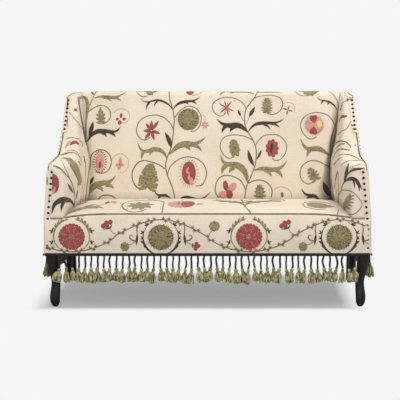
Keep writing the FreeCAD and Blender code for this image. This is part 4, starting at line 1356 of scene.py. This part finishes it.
# %% Flowers cut by the top edge
feather(back, "olive", -290 + 985j, -288 + 893j, 36, 7, 0.4)
vine(back, 2.2, -356, 930, -350, 912, -338, 897, -322, 889, -302, 893)
oval(back, "red", -100 + 924j, 20, 27)
vine(back, 1.5, -89, 896, -62, 901, -42, 920)
feather(back, "olive", 472 + 985j, 470 + 893j, 48, 6, 0.8)
vine(back, 1.9, 396, 925, 418, 900, 447, 893)
back.finish()

# %% [markdown]
# ## Border pattern
# A garland swings along the border: over each olive medallion, and under each red one. Small
# three-leaved sprigs grow along it, with buds and poppies in the spaces.

# %% Garland and medallions
border = Needlework("border_embroidery", on_border)
REPEAT = 760.0
GARLAND_LEVEL, GARLAND_RISE, GARLAND_FALL = 314, 66, 71
SPRIG_STEP = 62.0
OLIVE_AT = (-198.7, 561.6)
RED_AT = (-578.8, 177.2)


def garland(x):
    """The garland's line, which goes over one medallion and under the next."""
    wave = math.cos(2 * math.pi * (x - OLIVE_AT[0]) / REPEAT)
    swing = GARLAND_RISE * wave if wave > 0 else -GARLAND_FALL * (-wave) ** 0.75
    return complex(x, GARLAND_LEVEL + swing)


def beside(heart, side, degrees, across, up):
    """A place round a flower, at an angle up from its right side or its left one."""
    angle = math.radians(degrees)
    return heart + complex(side * math.cos(angle) * across, math.sin(angle) * up)


border.stroke("stem", [garland(x) for x in range(-688, 689, 20)], 2.6, 1.1, 6.0)
for k in range(-11, 12):
    for side, shift in ((1, -11.0), (-1, 1.0), (1, 13.0)):
        root = garland(k * SPRIG_STEP + 8 + shift)
        slope = garland(k * SPRIG_STEP + 9 + shift) - root
        way = 1j * side * slope / abs(slope)
        if min(abs(root - complex(centre, 308)) for centre in OLIVE_AT + RED_AT) > 64:
            sprig(border, "stem", root + way * 2.5, math.degrees(cmath.phase(way)), 12.5)

for x in OLIVE_AT:
    heart = complex(x, 305)
    chrysanthemum(border, "olive", heart, 60, "moss")
    for side in (1, -1):
        arc = [beside(heart, side, degrees, 76, 76) for degrees in (62, 40, 15, -10, -35, -55, -72)]
        border.stroke("brown", arc, (1.2, 1.4, 1.8, 3.2, 5.5, 4.5, 1.0), 1.1)
        for degrees in (-22, -38, -52):
            root = beside(heart, side, degrees, 78, 78)
            leaf(border, "brown", root, root + complex(side * 14, 16), 5)
        for degrees, size in ((42, 17), (14, 16), (-4, 14)):
            root = beside(heart, side, degrees, 77, 77)
            sprig(border, "brown", root, 90 - side * 40, size)
        hang = complex(x + side * 99, 300)
        border.stroke("stem", [hang + 68j, hang + complex(side * 3, 40), hang + 12j],
                      (1.8, 2.6, 3.0, 2.0), 1.1)
        leaf(border, "brown", hang + 24j, hang + complex(side * 6, -30), 6)
        curl = hang + complex(side * 24, 4)
        border.stroke("stem", [hang + complex(side * 6, -10), curl - 10j, curl + complex(side * 10, 2),
                               curl + complex(side * 2, 12), curl + complex(-side * 4, 6)],
                      (2.0, 3.4, 3.6, 2.4, 0.8), 1.1)
    bud = complex(x - 150, 268)
    border.stroke("stem", [complex(x - 104, 292), complex(x - 122, 278), bud], 1.6, 1.0)
    lobes(border, "olive", bud + (-4 - 3j), 19, 21, 7, 9)
    lobes(border, "moss", bud + (-4 - 3j), 10, 12, 5, 1.8)
    bud = complex(x + 152, 266)
    border.stroke("stem", [complex(x + 104, 292), complex(x + 118, 280), bud + (-12 + 6j)], 1.6, 1.0)
    for petal in (0 + 12j, 8 + 2j, -4 - 10j, -2 + 0j):
        oval(border, "red", bud + petal, 9, 9, 1.1)
    for lean in (-60, 0, 60):
        leaf(border, "moss", bud + (-20 + 4j), bud + (-20 + 4j) + turned(lean, 13), 3, 0, 1.7)
    poppy = complex(x - 228, 361)
    border.stroke("stem", [garland(x - 184), complex(x - 206, 326), poppy + (10 - 12j)], 1.5, 1.0)
    for petal in (13 + 9j, -5 + 5j, -18 - 7j, -2 - 6j):
        oval(border, "red", poppy + petal, 10, 11, 1.2)
    border.stroke("moss",
                  [poppy + (-18 - 22j), poppy + (-5 - 18j), poppy + (10 - 15j), poppy + (20 - 1j)],
                  (0.8, 4, 4.5, 0.8), 1.8)
    tulip = complex(x + 230, 354)
    if x + 230 < 600:
        border.stroke("stem", [garland(x + 200), complex(x + 208, 322), tulip + (-8 - 18j)], 1.7, 1.0)
        lobes(border, "olive", tulip + (-2 - 1j), 23, 22, 8, 10)
        lobes(border, "moss", tulip + (-2 - 1j), 13, 13, 6, 1.8)

for x in RED_AT:
    heart = complex(x, 308)
    oval(border, "red", heart, 53, 53, 0.9)
    for k in range(22):
        way = turned(360 * k / 22)
        border.stroke("red", [heart + way * 44, heart + way * 51, heart + way * 56.5], (7.5, 8, 6), 1.1)
    for k in range(8):
        for n in range(4):
            way = turned(22.5 + 45 * k + (n % 2 * 8 - 4))
            border.stroke("pink", [heart + way * (20 + 7 * n), heart + way * (24 + 7 * n) * turned(3),
                                   heart + way * (28 + 7 * n)], (0.6, 2.0, 0.6), 2.5)
    star(border, "olive", heart, 17, 6, 0.3, 0.0)
    for side in (1, -1):
        ring = [beside(heart, side, degrees, 77, 78 if degrees > 0 else 69)
                for degrees in (76, 50, 22, -5, -30, -52, -66)]
        border.stroke("olive", ring, (2.4, 5, 4.4, 3.0, 2.4, 2.2, 2.2), 1.1)
        for degrees in (64, 52, 40, 28, 16):
            root = beside(heart, side, degrees, 78, 76)
            up = turned(degrees + 62 if side > 0 else 118 - degrees, 22)
            leaf(border, "olive", root, root + up, 5.5)
            leaf(border, "olive", root, root + up * turned(34 * side), 4.5)
        for height in (22, -26):
            sprig(border, "brown", heart + complex(side * 80, height), 90 - side * 70, 18)
border.finish()

# %% [markdown]
# ## Seat pattern
# The vines of the back run on forwards over the seat, and are cut at the front piping.

# %% Seat
SEAT_STRETCH = 1.75
SEAT_MIDDLE = -150.0


def on_long_seat(z):
    """The cloth of the seat is drawn out towards the front, so its pattern is longer than it is wide."""
    return on_seat(complex(z.real, SEAT_MIDDLE + (z.imag - SEAT_MIDDLE) * SEAT_STRETCH))


seat = Needlework("seat_embroidery", on_long_seat)
seat.stroke("stem", [-284 - 30j, -233 - 76j, -203 - 121j, -199 - 179j, -195 - 260j], 3.1, 1.2)
seat.stroke("stem", [142 - 30j, 148 - 77j, 154 - 139j, 164 - 201j, 184 - 260j], 3.1, 1.2)
seat.stroke("stem", [556 - 261j, 562 - 236j, 566 - 207j], 2.4, 1.2)
loop(seat, -240 - 81j, -310 - 170j, 72, 92, 80, 235, 3.0)
for degrees in range(0, 360, 45):
    leaf(seat, "olive", -300 - 176j, -300 - 176j + turned(degrees + 10, 62), 15, 0.08)
oval(seat, "pink", -121 - 151j, 58, 54, 1.0)
lobes(seat, "pink", -121 - 151j, 62, 62, 18, 8)
oval(seat, "red", -93 - 153j, 30, 48, 2.2, 0)
seat.stroke("moss", [-136 - 118j, -132 - 150j, -138 - 186j], (1, 4, 1), 2.2)
star(seat, "pink", -38 - 156j, 20, 7, 0.16)
acanthus(seat, "olive", trail(-612, -256, -585, -222, -545, -196, -505, -190, -478, -196, -455, -214), 14,
         (-545, -200, -500, -150, 12), (-520, -196, -478, -212, 12))
seat.stroke("stem", [-612 - 262j, -600 - 236j, -560 - 190j, -480 - 173j, -452 - 144j], 2.4, 1.1)
for petal in (-454 - 122j, -432 - 108j, -420 - 126j):
    oval(seat, "red" if petal.real < -440 else "pink", petal, 11, 20)
leaf(seat, "olive", -590 - 133j, -560 - 53j, 12, -0.1)
frond(seat, "olive", 160 - 197j, 1, 1.15, 1.25, 28)
frond(seat, "olive", 158 - 193j, -1, 1.15, 1.35, 28)
leaf(seat, "brown", 150 - 127j, 112 - 81j, 8, 0.08)
leaf(seat, "brown", 152 - 127j, 196 - 81j, 8, -0.08)
oval(seat, "pink", 300 - 69j, 26, 34, 1.0)
loop(seat, 156 - 76j, 262 - 64j, 84, 60, 170, -250, 2.0)
oval(seat, "olive", 480 - 166j, 44, 50, 1.0, 70)
leaf(seat, "olive", 486 - 178j, 556 - 172j, 22)
loop(seat, 545 - 133j, 482 - 166j, 68, 66, 60, 240, 2.6)
seat.finish()


# %% [markdown]
# ## Arm pattern
# The cloth of an arm turns from its front over its top and down its inner face. A frame held
# against the pad, square to a slanting line from its inner front corner, reaches all of these.
# Points are given as places on the arm, in millimetres for the left arm or the right, and laid
# flat in that frame.

# %% Embroidery frames on the arms
HOOP_DISTANCE = 0.4
RETURN_FRONT = -364


class Hoop:
    """A flat embroidery frame held against the pads from one direction."""

    def __init__(self, tree, centre, out):
        self.tree = tree
        self.centre = Vector(centre) * MM
        self.out = Vector(out).normalized()
        self.right = Vector((0, 0, 1)).cross(self.out).normalized()
        self.up = self.out.cross(self.right)

    def __call__(self, z):
        start = self.centre + (self.right * z.real + self.up * z.imag) * MM + self.out * HOOP_DISTANCE
        return cast(self.tree, start, -self.out)

    def at(self, x, y, z):
        """The pattern point of a place on the arm."""
        step = Vector((x, y, z)) * MM - self.centre
        return complex(step.dot(self.right), step.dot(self.up)) / MM

    def path(self, *points):
        return [self.at(*point) for point in points]


# %% Left arm
hoop = Hoop(on_surface(arm_pads["left"], sides["left"]), (-640, -150, 560), (0.25, -0.94, 0.24))
arm = Needlework("left_arm_embroidery", hoop)
path = hoop.path
arm.stroke("olive", path((-652, -167, 626), (-627, -156, 626), (-595, -222, 608), (-584, -161, 568),
                         (-579, -111, 525), (-582, -155, 506)), (2, 14, 24, 26, 18, 2), 2.0)
arm.stroke("stem", path((-661, -350, 609), (-635, -354, 600), (-615, -333, 577), (-599, -280, 545),
                        (-589, -242, 503), (-588, -203, 462), (-591, -203, 415)),
           (3.6, 3.6, 2.6, 2.2, 2, 2), 1.5)
arm.stroke("stem", path((-649, -208, 624), (-619, -319, 606), (-607, -304, 575), (-600, -284, 554)),
           1.4, 1.3)
leaf(arm, "brown", hoop.at(-590, -235, 479), hoop.at(-606, -310, 531), 7.5)
leaf(arm, "brown", hoop.at(-586, -177, 448), hoop.at(-583, -129, 485), 4.5)
arm.stroke("brown", path((-590, -212, 424), (-597, -273, 452), (-610, -330, 462), (-634, -360, 459),
                         (-655, -361, 441), (-665, -361, 405)), (2.5, 8, 12, 12.5, 10, 6.5, 1), 1.6)
arm.stroke("brown", path((-616, -349, 457), (-623, -355, 437), (-626, -357, 414)), (9, 7, 1), 1.6)
disc = hoop.at(-661, -361, 532)
for degrees in range(-78, 85, 18):
    way = complex(27 * math.cos(math.radians(degrees)), 41 * math.sin(math.radians(degrees)))
    arm.stroke("red", [disc, disc + way * 0.6, disc + way], (3, 6.5, 5), 1.2)
arm.stroke("pink", path((-658, -361, 492), (-655, -361, 508), (-650, -361, 520)), (5, 6, 3), 2.2)
for back_by in (0, 70):
    arm.stroke("pink", path((-576, -31 + back_by, 542), (-575, -18 + back_by, 506),
                            (-580, -40 + back_by, 459), (-583, -45 + back_by, 418)),
               (0.8, 2.2, 1.8, 1.4), 1.3)
leaf(arm, "brown", hoop.at(-579, -44, 585), hoop.at(-588, -104, 611), 3)
leaf(arm, "brown", hoop.at(-574, 48, 587), hoop.at(-583, 62, 621), 3)
arm.stroke("pink", path((-654, -20, 664), (-646, -8, 678), (-636, 5, 694)), (3, 6, 5), 1.4)
arm.stroke("red", path((-636, -2, 676), (-622, 5, 686), (-610, 8, 688), (-598, 20, 676)),
           (3, 8, 8.5, 2), 1.9)
arm.stroke("stem", path((-658, 13, 701), (-639, 18, 708), (-615, 21, 706), (-599, 54, 694),
                        (-594, 114, 675), (-592, 81, 662)), 1.6, 1.3)
arm.stroke("olive", path((-668, -88, 636), (-656, -75, 638), (-636, -57, 644), (-617, -56, 642)),
           (2, 5, 5, 3, 1), 1.6)
for rise in (0, -14):
    arm.stroke("stem", path((-643, -41, 653 + rise), (-617, -35, 655 + rise), (-593, -35, 635 + rise),
                            (-582, -20, 610 + rise)), (0.8, 1.5, 1.4, 0.8), 1.3)
for points, half in ((((-588, 203, 670), (-577, 206, 629), (-568, 188, 589), (-567, 144, 547),
                       (-570, 104, 495), (-573, 87, 446), (-574, 70, 410)), (2.5, 3.6, 3.8, 3.6, 3)),
                     (((-581, 69, 618), (-573, 63, 569), (-572, 35, 521)), (1, 1.8, 1))):
    arm.stroke("stem", path(*points), half, 1.6)
# This dark brown strip along the crease between the left wing and the back is painted shade: it stands in
# for the shadow in that gap.
arm.stroke("brown", path((-616, 150, 880), (-613, 141, 861), (-610, 158, 825), (-605, 180, 778),
                         (-598, 201, 726), (-589, 199, 675)), (3.4, 5, 6, 6.4, 6), 1.4)
arm.stroke("olive", path((-616, 140, 870), (-617, 170, 884), (-617, 200, 887), (-614, 236, 886)),
           (7, 8, 8, 7), 1.6)
arm.stroke("stem", path((-648, 76, 822), (-644, 74, 815), (-616, 68, 783), (-601, 169, 738)), 1.5, 1.3)
oval(arm, "red", hoop.at(-623, 92, 832), 8, 8.5, 1.5, 60)
arm.stroke("red", path((-661, 112, 886), (-659, 91, 857), (-662, 77, 828)), (3, 4.5, 4, 1), 1.4)
arm.stroke("brown", path((-655, 64, 803), (-656, 51, 779), (-655, 40, 757)), (0.8, 2.6, 0.8), 1.4)
for x, z, height, tone in ((-684, 546, 18, "olive"), (-676, 468, 7, "pink"), (-686, 380, 9, "olive"),
                           (-686, 275, 9, "red")):
    oval(arm, tone, hoop.at(x, RETURN_FRONT, z), 3.4, height, 1.3)
for base, outward in nail_lines["left"][::3]:
    spot = hoop.at(*(base * 1000 + outward * 2))
    leaf(arm, "brown", spot + 5, spot + dice.choice((9 + 6j, 8 - 7j, 11 + 1j)), 1.8)
arm.finish()

# %% Right arm
hoop = Hoop(on_surface(arm_pads["right"], sides["right"]), (640, -150, 560), (-0.25, -0.94, 0.24))
arm = Needlework("right_arm_embroidery", hoop)
path = hoop.path
leaf(arm, "brown", hoop.at(608, 190, 822), hoop.at(616, 113, 858), 4)
arm.stroke("stem", path((612, 154, 850), (628, 107, 872), (651, 109, 884), (663, 112, 892)), 1.5, 1.3)
arm.stroke("brown", path((628, 200, 898), (642, 118, 892), (656, 112, 888)), (0.8, 1.4, 0.8), 1.3)
for turn in (20, 75, 130, 190, 250):
    leaf(arm, "brown", hoop.at(642, 108, 880), hoop.at(642, 108, 880) + turned(turn, 15), 2)
arm.stroke("red", path((604, 179, 770), (608, 140, 795), (616, 79, 802), (632, 68, 804)),
           (1.5, 6, 8.5, 4), 1.4)
arm.stroke("stem", path((598, 164, 713), (611, 47, 739), (630, 41, 749), (644, 52, 774), (651, 52, 780)),
           1.6, 1.3)
for x, y, z, height in ((654, 43, 764, 8), (658, 35, 746, 6)):
    oval(arm, "olive", hoop.at(x, y, z), 4, height, 1.4, 40)
for points in (((582, 200, 654), (592, 159, 677), (602, 26, 693), (625, 3, 687), (643, -19, 666)),
               ((585, 128, 649), (595, 68, 670), (615, 0, 680)),
               ((571, 131, 598), (583, 102, 635), (603, -17, 658), (636, -36, 655)),
               ((572, 88, 576), (582, -36, 611), (599, -78, 626)),
               ((586, -176, 597), (607, -215, 617), (634, -225, 622), (671, -241, 621))):
    arm.stroke("stem", path(*points), (1.6, 4.4, 3, 3.6, 1.6), 1.3)
arm.stroke("olive", path((588, -22, 629), (614, -68, 637), (642, -84, 634), (664, -213, 624)),
           (1.5, 4.4, 3.6, 1.5), 1.3)
arm.stroke("stem", path((567, 178, 560), (568, 161, 489), (572, 122, 442), (572, 100, 412)),
           (1.6, 2.4, 2.2), 1.3)
leaf(arm, "brown", hoop.at(575, 26, 500), hoop.at(579, -72, 568), 6)
leaf(arm, "brown", hoop.at(574, 60, 470), hoop.at(577, 20, 505), 4)
arm.stroke("stem", path((579, -90, 560), (581, -100, 520), (583, -90, 470), (583, -60, 425)), 1.8, 1.3)
arm.stroke("pink", path((577, 11, 478), (580, -35, 449), (584, -26, 416)), 2.4, 1.3)
leaf(arm, "brown", hoop.at(592, -252, 526), hoop.at(610, -279, 614), 11, -0.04, 1.6)
arm.stroke("brown",
           path((603, -290, 562), (612, -318, 580), (628, -354, 593), (655, -358, 597), (671, -359, 600)),
           (1.2, 5, 7, 5.5, 1), 1.6)
arm.stroke("brown", path((585, -188, 489), (590, -253, 526), (602, -293, 544), (617, -343, 553),
                         (636, -359, 547), (651, -361, 526), (658, -361, 508)),
           (1.2, 2.6, 6.5, 8.5, 8, 5.5, 1), 1.6)
arm.stroke("brown", path((624, -353, 545), (628, -356, 530), (628, -357, 514)), (5, 4, 0.8), 1.6)
arm.stroke("brown", path((636, -360, 540), (646, -361, 522), (649, -361, 500)), (5, 4.5, 0.8), 1.6)
arm.stroke("stem", path((618, -335, 596), (638, -342, 610), (662, -334, 614)), 1.3, 1.3)
arm.stroke("stem", path((582, -98, 460), (585, -184, 485), (600, -289, 498), (623, -354, 495),
                        (645, -361, 473), (660, -361, 447), (650, -361, 424), (628, -358, 404),
                        (606, -330, 398)), 2, 1.3)
spine = path((593, -250, 404), (595, -234, 420), (602, -294, 459), (613, -338, 486))
arm.stroke("olive", spine, (6, 13, 12, 5), 1.5)
for at_share, x, y, z in ((0.9, 629, -358, 484), (0.75, 630, -358, 468), (0.6, 627, -356, 450),
                          (0.45, 620, -352, 435), (0.3, 614, -340, 420)):
    root = spine[0] + (spine[3] - spine[0]) * at_share * 0.85
    arm.stroke("olive", [root, (root + hoop.at(x, y, z)) / 2 + 2, hoop.at(x, y, z)],
               (4.5, 4.5, 3.6, 0.6), 1.7)
oval(arm, "olive", hoop.at(686, RETURN_FRONT, 345), 3.4, 18, 1.3)
oval(arm, "red", hoop.at(676, RETURN_FRONT, 276), 3.4, 6, 1.3)
oval(arm, "red", hoop.at(662, -12, 676), 3.4, 4, 1.3)
for base, outward in nail_lines["right"][::2]:
    spot = hoop.at(*(base * 1000 + outward * 2))
    leaf(arm, "brown", spot - 5, spot + dice.choice((-10 + 6j, -8 - 7j, -11 - 1j)), 1.8)
arm.finish()

# %% [markdown]
# ## Outside pattern
# The outer sides and the back carry the same cloth, so the same vines climb there.

# %% Outer sides and back
side_tree = {side: on_surface(sides[side]) for side in sides}
rear_tree = on_surface(rear_cloth)


CLIMBER_SWAY = 18
CLIMBER_WAVE = 62
CLIMBER_STEP = 104


def climber(work, x, low, high, turn):
    """A vine with pairs of leaves, and loops that hold a flower in turn."""
    def at(z):
        return complex(x + CLIMBER_SWAY * math.sin((z - low) / CLIMBER_WAVE) * turn, z)

    work.stroke("stem", [at(z) for z in range(low, high, 24)], 2.8, 1.1, 6.0)
    for n, z in enumerate(range(low + 50, high - 60, CLIMBER_STEP)):
        root = at(z)
        side = turn if n % 2 else -turn
        frond(work, "olive" if n % 3 else "brown", root, side, 0.8, 1.3)
        heart = root + complex(-side * 84, 22)
        loop(work, root + 10j, heart, 60, 50, 20 if side > 0 else 160, 240 if side > 0 else -240, 1.9)
        if n % 3 == 0:
            chrysanthemum(work, "olive", heart, 34)
        elif n % 3 == 1:
            star(work, "red", heart, 32, 7)
        else:
            lobes(work, "red", heart, 24, 30, 8, 9)
            oval(work, "pink", heart, 7, 14, 1.9)


def on_rear(z):
    return cast(rear_tree, Vector((-z.real * MM, BEHIND, z.imag * MM)), -FORWARD)


rear = Needlework("rear_embroidery", on_rear)
for x, turn in ((-520, 1), (-175, -1), (175, 1), (520, -1)):
    climber(rear, x, 250, 880, turn)
rear.finish()
for side, sign in (("left", -1), ("right", 1)):
    outer = Needlework("outer_%s_embroidery" % side, lambda z: cast(
        side_tree[side], Vector((sign * BEHIND, z.real * MM * sign, z.imag * MM)), Vector((-sign, 0, 0))))
    climber(outer, -190 * sign, 250, 610, sign)
    climber(outer, 190 * sign, 250, 860, -sign)
    outer.finish()
